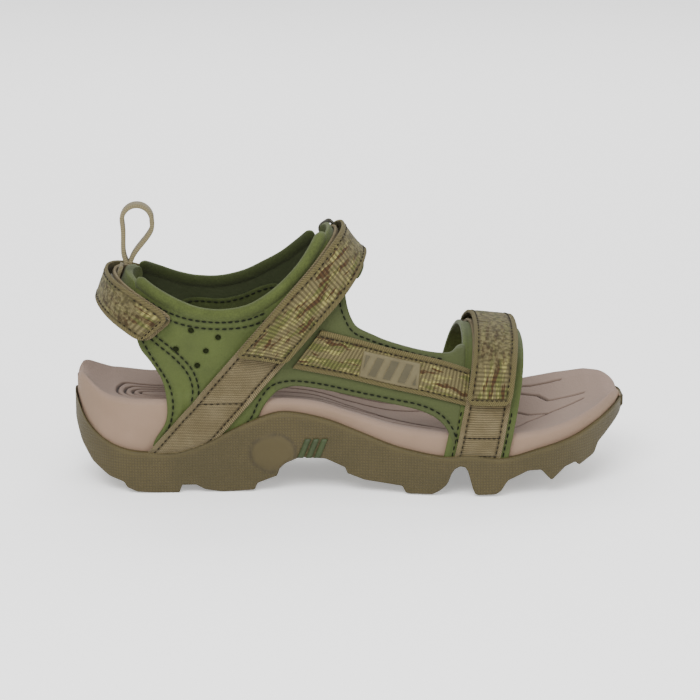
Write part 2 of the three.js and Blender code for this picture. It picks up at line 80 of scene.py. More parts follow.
def profile(points):
    """A smooth function through given (x, value) points, for arrays."""
    xs = np.array([p[0] for p in points], float)
    ys = np.array([p[1] for p in points], float)
    before = np.maximum(np.arange(len(xs)) - 1, 0)
    after = np.minimum(np.arange(len(xs)) + 1, len(xs) - 1)
    slopes = (ys[after] - ys[before]) / (xs[after] - xs[before])

    def value(x):
        x = np.clip(x, xs[0], xs[-1])
        i = np.clip(np.searchsorted(xs, x, side="right") - 1, 0, len(xs) - 2)
        span = xs[i + 1] - xs[i]
        t = (x - xs[i]) / span
        rise = (1 - t) ** 2 * (1 + 2 * t) * ys[i] + t**2 * (3 - 2 * t) * ys[i + 1]
        return rise + span * t * (1 - t) * ((1 - t) * slopes[i] - t * slopes[i + 1])

    return value


breadth = profile([
    (-120, 31), (-95, 33), (-70, 33.2), (-45, 32), (-20, 31), (0, 32.2), (20, 36.6), (45, 42.6),
    (62, 45), (80, 44.2), (95, 41.4), (108, 38.4), (120, 36),
])
middle = profile([
    (-120, 0), (-60, 0), (-20, -2.5), (0, -3), (20, -2.5), (45, -1.4), (62, 0), (74, 0), (88, 1.2), (100, 3),
    (112, 6), (120, 8),
])
rim_height = profile([
    (-120, 45), (-108, 43), (-90, 41.3), (-32, 41), (-15, 39.5), (0, 35), (21, 29.4), (45, 27.4),
    (70, 27.4), (90, 30), (106, 34), (120, 39.5),
])
cup_edge = profile([
    (-120, 38.8), (-115.5, 30), (-109, 24), (-100, 20), (-89, 18.4), (-76, 18), (-62, 22.6), (-52.6, 27.6),
    (-43, 32), (-32, 35.6), (-22.7, 35.2), (-10, 32.2), (2.6, 27.4), (18, 21.6), (31, 18.7), (40, 17.7),
    (50, 18.6), (65.5, 17.4), (81, 21), (97, 24.6), (109.6, 29), (117, 31.6), (120, 32.4),
])
cup_floor = profile([
    (-120, 26), (-110, 19), (-100, 12.5), (-88, 9.6), (-52, 9.6), (-38, 13.4), (-22, 19.6), (-8, 18.6),
    (6, 13.6), (24, 9.6), (36, 10.4), (50, 13.8), (62, 10.4), (72, 10), (84, 13.4), (98, 17.4), (110, 22.6),
    (120, 28),
])
ridge = profile([
    (-60, 175), (-40, 162), (-25, 140), (-16, 121), (-10, 111), (-3, 100.5), (3, 94.5), (20, 84),
    (38, 70), (50, 63.6), (60, 62), (72, 60.4), (84, 57),
])


def end_cap(x):
    from_heel = np.minimum((x + SOLE_HALF + TIP) / HEEL_ROUND, 1)
    from_toe = np.minimum((SOLE_HALF + TIP - x) / TOE_ROUND, 1)
    return np.sqrt(np.maximum(0, 1 - (1 - from_heel) ** 2)) * np.sqrt(np.maximum(0, 1 - (1 - from_toe) ** 2))


def sole_edge(side, x, inset=0.0):
    """Distance of the sole's edge from the x axis on one side, less an inset all round."""
    stretched = x * SOLE_HALF / (SOLE_HALF - inset)
    cap = end_cap(stretched)
    return breadth(x) * cap - inset * np.minimum(1, cap * 2) + side * middle(x)


def spring_line(x):
    return rim_height(x) + SPRING_RISE


def wall_breadth(side, x, z):
    plan = x - HEEL["lean"] * (np.maximum(z, 62) - HEEL["level"])
    sole = sole_edge(side, x) - UPPER_INSET
    ahead = HEEL["breadth"] + HEEL["flare"] * (plan - HEEL["x"])
    bend = np.clip((plan - HEEL["x"]) / HEEL["reach"], -1, 0)
    around = np.where(plan > HEEL["x"], ahead, HEEL["breadth"] * np.sqrt(1 - bend**2))
    return np.where(x < -30, np.minimum(sole, around), sole)


def form_breadth(side, x, z):
    base = spring_line(x)
    rise = np.clip((z - base) / (ridge(x) - base), 0, 0.999)
    return wall_breadth(side, x, z) * (1 - rise**ARCH_POWER) ** (1 / ARCH_POWER)


def seat(points, lift):
    """Layers that run down into the sole lie against its foam and stop short of the rubber wall's face."""
    x, y, z = points[..., 0], points[..., 1], points[..., 2]
    side = np.sign(y)
    rise = np.clip((rim_height(x) + 5 - z) / 6, 0, 1)
    rise = rise * rise * (3 - 2 * rise) * (np.abs(y) > 12)
    reach = sole_edge(side, x)
    wanted = sole_edge(side, x, MIDSOLE_INSET) + 0.15 + lift
    out = np.abs(y) + rise * np.maximum(0, wanted - np.abs(y))
    limit = reach - 0.75 - 0.12 * (3.65 - lift) + 0.7 * np.maximum(0, z - cup_edge(x) - 0.4)
    out = np.where(rise > 0, np.minimum(out, limit), out)
    return np.stack([x, side * out, z], axis=-1)


def side_point(side, x, z, lift):
    """Points on one side of the foot form, moved out along its normal, and the normals."""
    x, z, lift = np.broadcast_arrays(*(np.asarray(given, float) for given in (x, z, lift)))
    e = 0.5
    at = form_breadth(side, x, z)
    slope_x = (form_breadth(side, x + e, z) - form_breadth(side, x - e, z)) / (2 * e)
    slope_z = (form_breadth(side, x, z + e) - form_breadth(side, x, z - e)) / (2 * e)
    normal = np.stack([-slope_x, np.full(x.shape, float(side)), -slope_z], axis=-1)
    normal /= np.linalg.norm(normal, axis=-1, keepdims=True)
    return seat(np.stack([x, side * at, z], axis=-1) + normal * lift[..., None], lift), normal


class StrapSurface:
    """A strap's middle surface, with places along it in millimetres from its zero."""

    def __init__(self, point, start, end, zero):
        self.point = point
        s = np.linspace(start, end, 900)
        p = point(s, np.zeros_like(s))
        length = np.concatenate([[0], np.cumsum(np.linalg.norm(np.diff(p, axis=0), axis=1))])
        self.s = s
        self.mm = length - np.interp(zero, s, length)

    def at(self, mm, v, lift):
        mm, v, lift = np.broadcast_arrays(*(np.asarray(given, float) for given in (mm, v, lift)))
        s = np.interp(mm, self.mm, self.s)
        e = 0.004
        along = self.point(s + e, v) - self.point(s - e, v)
        across = self.point(s, v + 0.5) - self.point(s, v - 0.5)
        normal = np.cross(across, along)
        normal /= np.linalg.norm(normal, axis=-1, keepdims=True)
        here = self.point(s, v)
        back = np.where(here[..., 0] < -88, here[..., 0] + 60, 0)
        out = np.stack([back, here[..., 1], here[..., 2] - 30], -1)
        normal *= np.where((normal * out).sum(-1, keepdims=True) < 0, -1, 1)
        return seat(here + normal * lift[..., None], lift), normal


def over_strap(x, z, lean):
    """A strap that crosses over the foot in a plane leaning forward; its zero is on the ridge."""
    slant = math.hypot(lean, 1)
    across = (1 / slant, -lean / slant)
    leg_step = 0.02

    def point(s, v):
        x0 = x + across[0] * v
        z0 = z + across[1] * v

        def on_plane(height):
            return x0 + lean * (height - z0)

        side = np.where(s < 0.5, LATERAL, MEDIAL)
        angle = np.pi * np.clip(s, 0, 1)
        rise = np.abs(np.sin(angle)) ** (2 / ARCH_POWER)
        low = np.full(s.shape, 20.0)
        high = np.full(s.shape, 150.0)
        for _ in range(34):
            height = (low + high) / 2
            base = spring_line(on_plane(height))
            under = height < base + (ridge(on_plane(height)) - base) * rise
            low = np.where(under, height, low)
            high = np.where(under, high, height)
        reach = np.abs(np.cos(angle)) ** (2 / ARCH_POWER)
        below = np.maximum(np.maximum(-s, s - 1), 0)
        height = low - below / leg_step
        wide = np.where(side < 0, wall_breadth(LATERAL, on_plane(height), height),
                        wall_breadth(MEDIAL, on_plane(height), height))
        return np.stack([on_plane(height), side * wide * reach, height], axis=-1)

    return StrapSurface(point, -0.9, 1.9, 0.5)


def heel_strap():
    """The band round the back of the heel; its zero is the middle of the back."""
    tilt = math.atan(HEEL["slope"])
    back = HEEL["x"] - HEEL["reach"]
    lean, slope = HEEL["lean"], HEEL["slope"]

    def point(s, v):
        angle = np.pi * (s - 0.5)
        straight = np.maximum(0, np.abs(angle) - np.pi / 2) * HEEL["breadth"]
        side = np.where(angle < 0, -1, 1)
        bend = np.minimum(np.abs(angle), np.pi / 2)
        share = bend / (np.pi / 2)
        slant = np.minimum(np.abs(angle) / (np.pi / 2), 1) * v * math.sin(tilt)
        plan = HEEL["x"] - HEEL["reach"] * np.cos(bend) + straight + slant * share**2
        rise = v * np.sqrt(1 + (slope * np.sin(bend)) ** 2)
        px = (plan + slope * lean * back + lean * rise) / (1 + slope * lean)
        ahead = HEEL["breadth"] + HEEL["flare"] * straight
        py = np.where(straight > 0, ahead, HEEL["breadth"] * np.sin(bend))
        return np.stack([px, side * py, HEEL["level"] + rise - slope * (px - back)], axis=-1)

    return StrapSurface(point, -0.45, 1.45, 0.5)


SURFACE = {
    "ankle": over_strap(-73, 21, 0.881),
    "toe": over_strap(54.2, 19, 0.2),
    "heel": heel_strap(),
}

# ---------------------------------------------------------------- lines


def resample(points, step):
    """The same polyline in equal steps of about the given length."""
    points = np.asarray(points, float)
    length = np.concatenate([[0], np.cumsum(np.linalg.norm(np.diff(points, axis=0), axis=1))])
    count = max(2, round(length[-1] / step))
    at = np.linspace(0, length[-1], count + 1)
    return np.stack([np.interp(at, length, points[:, k]) for k in range(points.shape[1])], axis=1)


def smooth_line(points, step=1.0):
    """A smooth line through points, in steps of about the given length."""
    p = np.array(points, float)
    knots = np.concatenate([[0], np.cumsum(np.sqrt(np.linalg.norm(np.diff(p, axis=0), axis=1)))])
    fine = np.linspace(0, knots[-1], 30 * len(p))
    curve = [profile(list(zip(knots, p[:, k])))(fine) for k in range(p.shape[1])]
    return resample(np.stack(curve, axis=1), step)


def offset_line(line, distance):
    """A polyline in the x-z plane moved sideways, to the left of its direction when distance is positive."""
    tangent = np.gradient(line, axis=0)
    tangent /= np.linalg.norm(tangent, axis=1, keepdims=True)
    return line + distance * np.stack([-tangent[:, 1], tangent[:, 0]], axis=1)


def distance_to(points, line, closed=False):
    """Distance of each 2-D point from a polyline."""
    a = line if closed else line[:-1]
    b = np.roll(line, -1, axis=0) if closed else line[1:]
    best = np.full(len(points), 1e9)
    for start in range(0, len(points), 2000):
        p = points[start:start + 2000, None, :]
        ab = (b - a)[None]
        t = np.clip(((p - a) * ab).sum(-1) / np.maximum((ab**2).sum(-1), 1e-9), 0, 1)
        gap = np.linalg.norm(p - (a + t[..., None] * ab), axis=-1)
        best[start:start + 2000] = gap.min(axis=1)
    return best


def inside(points, loop):
    """Which 2-D points are inside a closed polyline."""
    result = np.zeros(len(points), bool)
    x, y = points[:, 0], points[:, 1]
    for (xa, ya), (xb, yb) in zip(loop, np.roll(loop, -1, axis=0)):
        if ya == yb:
            continue
        crosses = (ya > y) != (yb > y)
        result ^= crosses & (x < (xb - xa) * (y - ya) / (yb - ya) + xa)
    return result


# ---------------------------------------------------------------- shader kit


def rgb(red, green, blue):
    """A colour given in 8-bit sRGB values, as Blender's linear colour."""
    channels = [c / 255 for c in (red, green, blue)]
    linear = [c / 12.92 if c <= 0.04045 else ((c + 0.055) / 1.055) ** 2.4 for c in channels]
    return (*linear, 1.0)


class Value:
    """A node socket as a number, so that shader maths reads as plain arithmetic."""

    def __init__(self, paint, socket):
        self.paint = paint
        self.socket = socket

    def __add__(self, other):
        return self.paint.math("ADD", self, other)

    def __radd__(self, other):
        return self.paint.math("ADD", other, self)

    def __sub__(self, other):
        return self.paint.math("SUBTRACT", self, other)

    def __rsub__(self, other):
        return self.paint.math("SUBTRACT", other, self)

    def __mul__(self, other):
        return self.paint.math("MULTIPLY", self, other)

    def __rmul__(self, other):
        return self.paint.math("MULTIPLY", other, self)

    def sine(self):
        return self.paint.math("SINE", self, 0.0)

    def abs(self):
        return self.paint.math("ABSOLUTE", self, 0.0)

    def wave(self, pitch):
        """A smooth wave from 0 to 1 that repeats every pitch."""
        return (self * (2 * math.pi / pitch)).sine() * 0.5 + 0.5

    def step(self, low, high):
        """Rises smoothly from 0 at low to 1 at high."""
        node = self.paint.node("ShaderNodeMapRange", {"interpolation_type": "SMOOTHSTEP"},
                               {"Value": self, "From Min": low, "From Max": high})
        return Value(self.paint, node.outputs["Result"])


class Paint:
    """A material under construction. Lengths in its patterns are in millimetres."""

    def __init__(self, name):
        self.material = bpy.data.materials.new(name)
        self.material.use_nodes = True
        self.tree = self.material.node_tree
        self.tree.nodes.clear()
        self.place = None

    def node(self, kind, settings=None, inputs=None):
        """A new node: settings first, then socket values or links."""
        node = self.tree.nodes.new(kind)
        for key, value in (settings or {}).items():
            setattr(node, key, value)
        for key, value in (inputs or {}).items():
            if isinstance(value, Value):
                self.tree.links.new(value.socket, node.inputs[key])
            else:
                node.inputs[key].default_value = value
        return node

    def math(self, operation, a, b):
        node = self.node("ShaderNodeMath", {"operation": operation}, {0: a, 1: b})
        return Value(self, node.outputs[0])

    def scaled(self, vector, size):
        sizes = (size, size, size)
        node = self.node("ShaderNodeVectorMath", {"operation": "MULTIPLY"}, {0: vector, 1: sizes})
        return Value(self, node.outputs[0])

    def object_mm(self):
        """The place in the object's own frame, in millimetres."""
        if self.place is None:
            coordinates = self.node("ShaderNodeTexCoord")
            self.place = self.scaled(Value(self, coordinates.outputs["Object"]), 1000.0)
        return self.place

    def uv_mm(self):
        """The piece's own (along, across) in millimetres, as two numbers."""
        layer = self.node("ShaderNodeUVMap", {"uv_map": "cloth"})
        split = self.node("ShaderNodeSeparateXYZ", None,
                          {0: self.scaled(Value(self, layer.outputs["UV"]), 1000.0)})
        return Value(self, split.outputs["X"]), Value(self, split.outputs["Y"])

    def vector(self, x, y, z=0.0):
        node = self.node("ShaderNodeCombineXYZ", None, {0: x, 1: y, 2: z})
        return Value(self, node.outputs[0])

    def attribute(self, name):
        node = self.node("ShaderNodeAttribute", {"attribute_name": name})
        return Value(self, node.outputs["Fac"])

    def noise(self, size, detail=2.0, at=None, rough=0.55):
        """Soft noise from 0 to 1 with features about size millimetres across."""
        node = self.node("ShaderNodeTexNoise", None,
                         {"Vector": at or self.object_mm(), "Scale": 1 / size, "Detail": detail,
                          "Roughness": rough})
        return Value(self, node.outputs["Fac"])

    def cells(self, size, feature="F1"):
        """Distance from 0 in the middle of each cell, with cells about size millimetres across."""
        node = self.node("ShaderNodeTexVoronoi", {"feature": feature},
                         {"Vector": self.object_mm(), "Scale": 1 / size})
        return Value(self, node.outputs["Distance"])

    def mix(self, factor, a, b):
        node = self.node("ShaderNodeMix", {"data_type": "RGBA"}, {0: factor, 6: a, 7: b})
        return Value(self, node.outputs[2])

    def shade(self, colour, amount):
        """A colour made lighter or darker by a number round 1."""
        grey = self.vector(amount, amount, amount)
        node = self.node("ShaderNodeMix", {"data_type": "RGBA", "blend_type": "MULTIPLY"},
                         {0: 1.0, 6: colour, 7: grey})
        return Value(self, node.outputs[2])

    def done(self, colour, roughness, height=None, sheen=0.0, specular=0.5, glow=0.0):
        """Closes the material; height is a relief in millimetres."""
        inputs = {"Base Color": colour, "Roughness": roughness, "Sheen Weight": sheen, "Sheen Roughness": 0.6,
                  "Specular IOR Level": specular, "Emission Color": (1, 1, 1, 1), "Emission Strength": glow}
        if height is not None:
            bump = self.node("ShaderNodeBump", None, {"Height": height, "Distance": 0.001, "Strength": 1.0})
            inputs["Normal"] = Value(self, bump.outputs["Normal"])
        surface = self.node("ShaderNodeBsdfPrincipled", None, inputs)
        output = self.node("ShaderNodeOutputMaterial")
        self.tree.links.new(surface.outputs[0], output.inputs["Surface"])
        return self.material


# ---------------------------------------------------------------- materials


def rubber_paint():
    p = Paint("olive_rubber")
    along, up = p.uv_mm()
    wall = p.attribute("wall")
    cell = 1.25
    lattice = (along.wave(cell) * up.wave(cell)).step(0.1, 0.5)
    grain = p.noise(0.35, 3.0)
    blotch = p.noise(22.0, 3.0)
    colour = p.mix(blotch.step(0.3, 0.7), rgb(62, 54, 26), rgb(70, 61, 32))
    # Darker along the grid's sunk lines: painted shade in the grooves.
    colour = p.mix((1.0 - lattice) * wall * 0.5, colour, rgb(50, 43, 24))
    # The boss is a little darker, with a much darker ring round its edge: painted shade at the boss's step.
    colour = p.mix(p.attribute("boss_tone_and_edge_shade"), colour, rgb(44, 37, 20))
    colour = p.shade(colour, 0.93 + 0.14 * grain)
    height = lattice * wall * 0.14 + grain * 0.05
    return p.done(colour, 0.55 + 0.25 * grain, height, specular=0.35)


def foam_paint():
    p = Paint("taupe_foam")
    top = p.attribute("top")
    groove_depth_and_shade = p.attribute("groove_depth_and_shade")
    fine = p.noise(0.5, 3.0)
    pits = p.cells(0.9)
    blotch = p.noise(30.0, 3.0)
    colour = p.mix(blotch.step(0.3, 0.7), rgb(121, 101, 84), rgb(128, 107, 90))
    colour = p.mix(top, colour, rgb(122, 104, 93))
    # The grooves are painted near black: painted shade in the grooves.
    colour = p.mix(groove_depth_and_shade, colour, rgb(24, 20, 21))
    colour = p.shade(colour, 0.94 + 0.1 * fine)
    height = fine * 0.06 + pits * (0.03 + 0.07 * top)
    return p.done(colour, 0.72 + 0.18 * fine, height, specular=0.3)


def shell_paint():
    p = Paint("olive_shell")
    panel = p.attribute("panel")
    seam = p.attribute("seam")
    leather = p.cells(1.15, feature="SMOOTH_F1")
    fine = p.noise(0.4, 3.0)
    blotch = p.noise(16.0, 4.0)
    colour = p.mix(blotch.step(0.25, 0.75), rgb(54, 63, 22), rgb(62, 72, 26))
    colour = p.mix(panel, colour, rgb(54, 61, 26))
    colour = p.mix(seam * 0.55, colour, rgb(38, 45, 16))
    # Inner faces are darker: painted shade inside the shoe.
    colour = p.mix(p.attribute("inner_shade"), colour, rgb(34, 41, 13))
    colour = p.shade(colour, 0.93 + 0.12 * fine)
    height = leather * 0.16 + fine * 0.05
    return p.done(colour, 0.62 + 0.2 * fine, height, sheen=0.03, specular=0.3)


def padding_paint(name, light, dark):
    p = Paint(name)
    knit = p.cells(0.8)
    fine = p.noise(0.3, 3.0)
    blotch = p.noise(12.0, 3.0)
    colour = p.mix(blotch.step(0.25, 0.75), dark, light)
    # The inner side is darker: painted shade inside the shoe.
    colour = p.mix(p.attribute("inner_shade") * 0.85, colour, rgb(34, 41, 13))
    colour = p.shade(colour, 0.84 + 0.3 * knit)
    height = (1.0 - knit) * 0.14 + fine * 0.06
    return p.done(colour, 0.85 + 0.1 * fine, height, sheen=0.06, specular=0.2)


def weave(p, along, across, pitch, lean=0.35):
    """Height from 0 to 1 of a ribbed narrow cloth: ribs across, each made of small slanted yarns."""
    ribs = along.wave(pitch)
    yarn = (across + along * lean).wave(0.62)
    return ribs * (0.55 + 0.45 * yarn)


def cloth_finish(p, colour, cloth, along, across, dark):
    """Shading shared by the woven bands: yarns, fuzz, a dark line inside each border, velvet where worn, and
    painted shade in the hollows of the weave.
    """
    velvet = p.attribute("velvet")
    fuzz = p.noise(0.55, 4.0)
    lumps = p.noise(1.7, 3.0)
    border = p.attribute("border")
    twill = (along + across.abs() * 1.1).wave(0.9)
    relief = p.math("ADD", cloth * (1.0 - border), twill * border)
    relief = relief * (1.0 - velvet) + velvet * lumps
    # Hollows between ribs and lumps are painted darker: painted shade.
    colour = p.shade(colour, 0.4 + 0.74 * relief + 0.18 * fuzz)
    colour = p.mix(p.attribute("line") * 0.8, colour, dark)
    height = relief * 0.26 + fuzz * 0.1
    return p.done(colour, 0.84 + 0.1 * fuzz, height, sheen=0.04, specular=0.15)


def webbing_paint():
    p = Paint("khaki_webbing")
    along, across = p.uv_mm()
    cloth = weave(p, along, across, 0.95, 0.8)
    wear = p.noise(9.0, 3.0)
    colour = p.mix(wear.step(0.3, 0.7), rgb(98, 87, 61), rgb(111, 100, 74))
    return cloth_finish(p, colour, cloth, along, across, rgb(44, 38, 22))


def camo_paint():
    """Ribbed webbing with streaks of olive, straw and brown woven along it."""
    p = Paint("patterned_webbing")
    along, across = p.uv_mm()
    cloth = weave(p, along, across, CAMO_RIB, 0.15)
    wander = p.noise(6.0, 2.0, p.vector(along, across, 40.0)) * 3.0
    streaks = p.vector(along * 0.3, across * 1.5 + wander, 2.0)
    spot = p.noise(3.6, 3.0, streaks, 0.6)
    straw = p.noise(2.6, 3.0, p.vector(along * 0.34, across * 1.6 + wander, 19.0), 0.6)
    brown = p.noise(3.2, 2.0, p.vector(along * 0.3, across * 1.5 + wander, 63.0), 0.6)
    colour = p.mix(spot.step(0.5, 0.6), rgb(94, 86, 58), rgb(79, 80, 42))
    colour = p.mix(straw.step(0.53, 0.62) * (0.55 + 0.45 * cloth.step(0.1, 0.6)), colour, rgb(126, 120, 70))
    colour = p.mix(brown.step(0.57, 0.63), colour, rgb(64, 46, 26))
    nap = p.noise(1.9, 4.0)
    worn = p.mix(nap.step(0.4, 0.6), rgb(46, 41, 22), rgb(96, 89, 60))
    colour = p.mix(p.attribute("velvet") * 0.7, colour, worn)
    colour = p.mix(p.attribute("border"), colour, rgb(91, 83, 52))
    return cloth_finish(p, colour, cloth, along, across, rgb(40, 35, 20))


def plastic_paint():
    p = Paint("dark_ring_plastic")
    fine = p.noise(0.5, 3.0)
    scuff = p.noise(3.0, 5.0, rough=0.7)
    colour = p.mix(scuff.step(0.4, 0.75), rgb(38, 36, 24), rgb(54, 50, 34))
    return p.done(colour, 0.36 + 0.22 * fine, fine * 0.03, specular=0.45)


def pile_paint(name, light, dark, size):
    p = Paint(name)
    loops = p.cells(size)
    fuzz = p.noise(0.4, 4.0)
    colour = p.mix(loops.step(0.1, 0.6), light, dark)
    colour = p.shade(colour, 0.85 + 0.3 * fuzz)
    return p.done(colour, 0.95, (1.0 - loops) * 0.45 + fuzz * 0.2, sheen=0.15, specular=0.1)


def ribbon_paint():
    p = Paint("pull_ribbon")
    along, across = p.uv_mm()
    herring = (along + across.abs() * 1.2).wave(0.95)
    yarn = across.wave(0.45)
    fuzz = p.noise(0.4, 3.0)
    colour = p.shade(rgb(112, 103, 76), 0.72 + 0.34 * herring + 0.08 * fuzz)
    return p.done(colour, 0.88, herring * 0.15 + yarn * 0.06 + fuzz * 0.05, sheen=0.08, specular=0.2)


def thread_paint(name, colour):
    p = Paint(name)
    twist = p.noise(0.25, 2.0)
    return p.done(p.shade(colour, 0.8 + 0.4 * twist), 0.7, twist * 0.05, specular=0.15)


def plain_paint(name, light, dark, size, roughness, relief):
    """A moulded material: two close tones, a fine grain and its roughness."""
    p = Paint(name)
    grain = p.noise(size, 3.0)
    blotch = p.noise(size * 18, 3.0)
    colour = p.mix(blotch.step(0.3, 0.7), dark, light)
    colour = p.shade(colour, 0.92 + 0.14 * grain)
    return p.done(colour, roughness + 0.15 * grain, grain * relief, specular=0.4)


RUBBER = rubber_paint()
FOAM = foam_paint()
SHELL = shell_paint()
PADDING = padding_paint("olive_padding", rgb(66, 75, 35), rgb(57, 65, 28))
# A darker copy of the padding for pieces on the inside: painted shade inside the shoe.
SHADED_PADDING = padding_paint("padding_painted_shade", rgb(50, 58, 24), rgb(38, 45, 17))
WEBBING = webbing_paint()
CAMO = camo_paint()
PLASTIC = plastic_paint()
PILE = pile_paint("loop_pile", rgb(78, 72, 46), rgb(52, 48, 28), 0.7)
HOOKS = pile_paint("moulded_hooks", rgb(62, 58, 38), rgb(36, 33, 20), 1.1)
RIBBON = ribbon_paint()
THREAD = thread_paint("dark_green_thread", rgb(12, 17, 5))
KHAKI_THREAD = thread_paint("brown_thread", rgb(26, 22, 12))
BADGE = plain_paint("soft_badge", rgb(88, 80, 53), rgb(80, 72, 46), 0.5, 0.55, 0.05)
BADGE_TRIM = plain_paint("badge_relief", rgb(66, 60, 38), rgb(58, 53, 33), 0.5, 0.6, 0.05)
INLAY = plain_paint("green_inlay", rgb(40, 52, 16), rgb(34, 44, 12), 0.4, 0.5, 0.05)
NYLON = plain_paint("black_nylon", rgb(40, 40, 40), rgb(30, 30, 30), 0.6, 0.5, 0.04)
CUSHION = plain_paint("grey_green_foam", rgb(58, 60, 36), rgb(50, 52, 30), 0.7, 0.8, 0.1)

# ---------------------------------------------------------------- meshes


def make_object(name, vertices, faces, material, uv=None, attributes=None, smooth=True):
    """A mesh object from vertices in millimetres, with its UV in metres and its point attributes."""
    mesh = bpy.data.meshes.new(name)
    mesh.from_pydata((np.asarray(vertices) * MM).tolist(), [], [list(map(int, f)) for f in faces])
    if uv is not None:
        layer = mesh.uv_layers.new(name="cloth")
        loops = np.empty(len(mesh.loops), np.int32)
        mesh.loops.foreach_get("vertex_index", loops)
        layer.data.foreach_set("uv", (np.asarray(uv, float)[loops] * MM).ravel())
    for key, values in (attributes or {}).items():
        attribute = mesh.attributes.new(key, "FLOAT", "POINT")
        attribute.data.foreach_set("value", np.asarray(values, np.float32))
    mesh.materials.append(material)
    if smooth:
        mesh.shade_smooth()
    else:
        mesh.shade_flat()
    face_out(mesh)
    obj = bpy.data.objects.new(name, mesh)
    bpy.context.scene.collection.objects.link(obj)
    return obj


def face_out(mesh):
    bm = bmesh.new()
    bm.from_mesh(mesh)
    bmesh.ops.recalc_face_normals(bm, faces=bm.faces)
    bm.to_mesh(mesh)
    bm.free()


def tube_faces(stations, around):
    """Faces of a closed tube of stations rings, each of around points, with its two end faces."""
    faces = []
    for i in range(stations - 1):
        for j in range(around):
            k = (j + 1) % around
            faces.append((i * around + j, i * around + k, (i + 1) * around + k, (i + 1) * around + j))
    last = (stations - 1) * around
    faces.append(tuple(range(around)))
    faces.append(tuple(range(last + around - 1, last - 1, -1)))
    return faces


def slab_faces(rows, columns):
    """Faces of a slab whose vertices are an outer grid, row by row, and then the same grid further in."""
    under = rows * columns
    faces = []
    for i in range(rows - 1):
        for j in range(columns - 1):
            a = i * columns + j
            b = a + columns
            faces.append((a, a + 1, b + 1, b))
            faces.append((under + a, under + b, under + b + 1, under + a + 1))
    rim = list(range(columns)) + [i * columns + columns - 1 for i in range(1, rows)]
    rim += list(range(under - 2, under - columns - 1, -1)) + [i * columns for i in range(rows - 2, 0, -1)]
    return faces + [(a, b, b + under, a + under) for a, b in zip(rim, rim[1:] + rim[:1])]


def join(name, objects):
    """One object from several, in the order given."""
    with bpy.context.temp_override(active_object=objects[0], selected_editable_objects=objects,
                                   selected_objects=objects, object=objects[0]):
        bpy.ops.object.join()
    objects[0].name = name
    return objects[0]


def finish_piece(obj, body, nodes=()):
    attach(obj, body)
    if nodes:
        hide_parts(*nodes)
    return obj


# ---------------------------------------------------------------- sole

RIM_WALL = 3.05
DISH = 4
FOAM_INSET = 3.1
GROOVE = {"half": 0.95, "depth": 1.4}
BOSS = {"x": -34, "z": 17.5, "rx": 9.4, "rz": 8.2, "out": 0.9}
BAR = {"width": 2.6, "height": 8.6, "lean": 3.4, "z": 19.7, "places": (-20.6, -17, -13.4)}
TREAD = np.array([
    (-122, 34), (-120, 26), (-117.4, 18.6), (-112.6, 11.6), (-105.4, 6.6), (-98.6, 4.6), (-97.6, 2.4),
    (-93, 0.5), (-85, 0), (-74.4, 0), (-73.8, 3.4), (-67.4, 3.4), (-63.6, 1.2), (-56, 0), (-48.6, 0.3),
    (-41.8, 0.8), (-41.2, 3.6), (-31.4, 7.4), (-31.8, 9.6), (-28.8, 12.6), (-22.4, 15.4), (-11.4, 14.8),
    (-2.6, 10.8), (-2.2, 8.4), (5.4, 5.6), (22, 3.6), (22.8, 0.8), (25, 0.3), (34.6, 0.5), (38, 2.4),
    (41.2, 5.6), (42.4, 9.6), (44, 12.2), (46.4, 13.6), (49.2, 13), (51, 7), (52.4, 1.6), (54, 0.7),
    (61.5, 0.9), (63.8, 2), (67, 7.2), (75.8, 11.4), (81.6, 11.4), (86.2, 6.2), (92.4, 11.4), (97, 12.6),
    (98.8, 10.6), (106, 13.6), (107.8, 18), (113.3, 22), (118.6, 25.5), (122, 31),
], float)


def tread_height(x):
    """Height of the tread's underside at the wall, with its corners rounded."""
    return np.mean([np.interp(x + d, TREAD[:, 0], TREAD[:, 1]) for d in np.linspace(-0.45, 0.45, 7)], axis=0)


def toe_reach(points):
    """The last stretch of the sole is drawn a little forward of the frame's toe."""
    points = np.array(points, float)
    points[:, 0] += 1.8 * np.clip((points[:, 0] - 90) / 30, 0, 1) ** 2
    return points


def foam_inset(x):
    """How far the foam stands in from the rubber's face: it swells over the rubber at both ends."""
    return FOAM_INSET - 2.0 * min(1, max(0, (abs(x) - 88) / 20))


def cup_base(x):
    """Height of the floor inside the rubber cup; the cup's two tips are solid."""
    if abs(x) > SOLE_HALF - RIM_WALL:
        return float(cup_edge(x)) - 0.25
    return min(max(float(cup_floor(x)), float(tread_height(x)) + 1.2), float(cup_edge(x)) - 0.6)


def edge_walk(xs, side):
    """Length along the sole's edge up to each x, from the heel."""
    y = sole_edge(side, xs)
    return np.concatenate([[0], np.cumsum(np.hypot(np.diff(xs), np.diff(y)))])


def sole_stations(reach, count, extra=()):
    xs = -reach * np.cos(np.pi * np.linspace(0, 1, count))
    return np.unique(np.round(np.concatenate([xs, extra]), 3))


def round_corner(count):
    """(share inwards, share of height) of a quarter circle, from the flat below to the wall."""
    angle = np.linspace(0, np.pi / 2, count)
    return [(1 - math.sin(a), 1 - math.cos(a)) for a in angle]


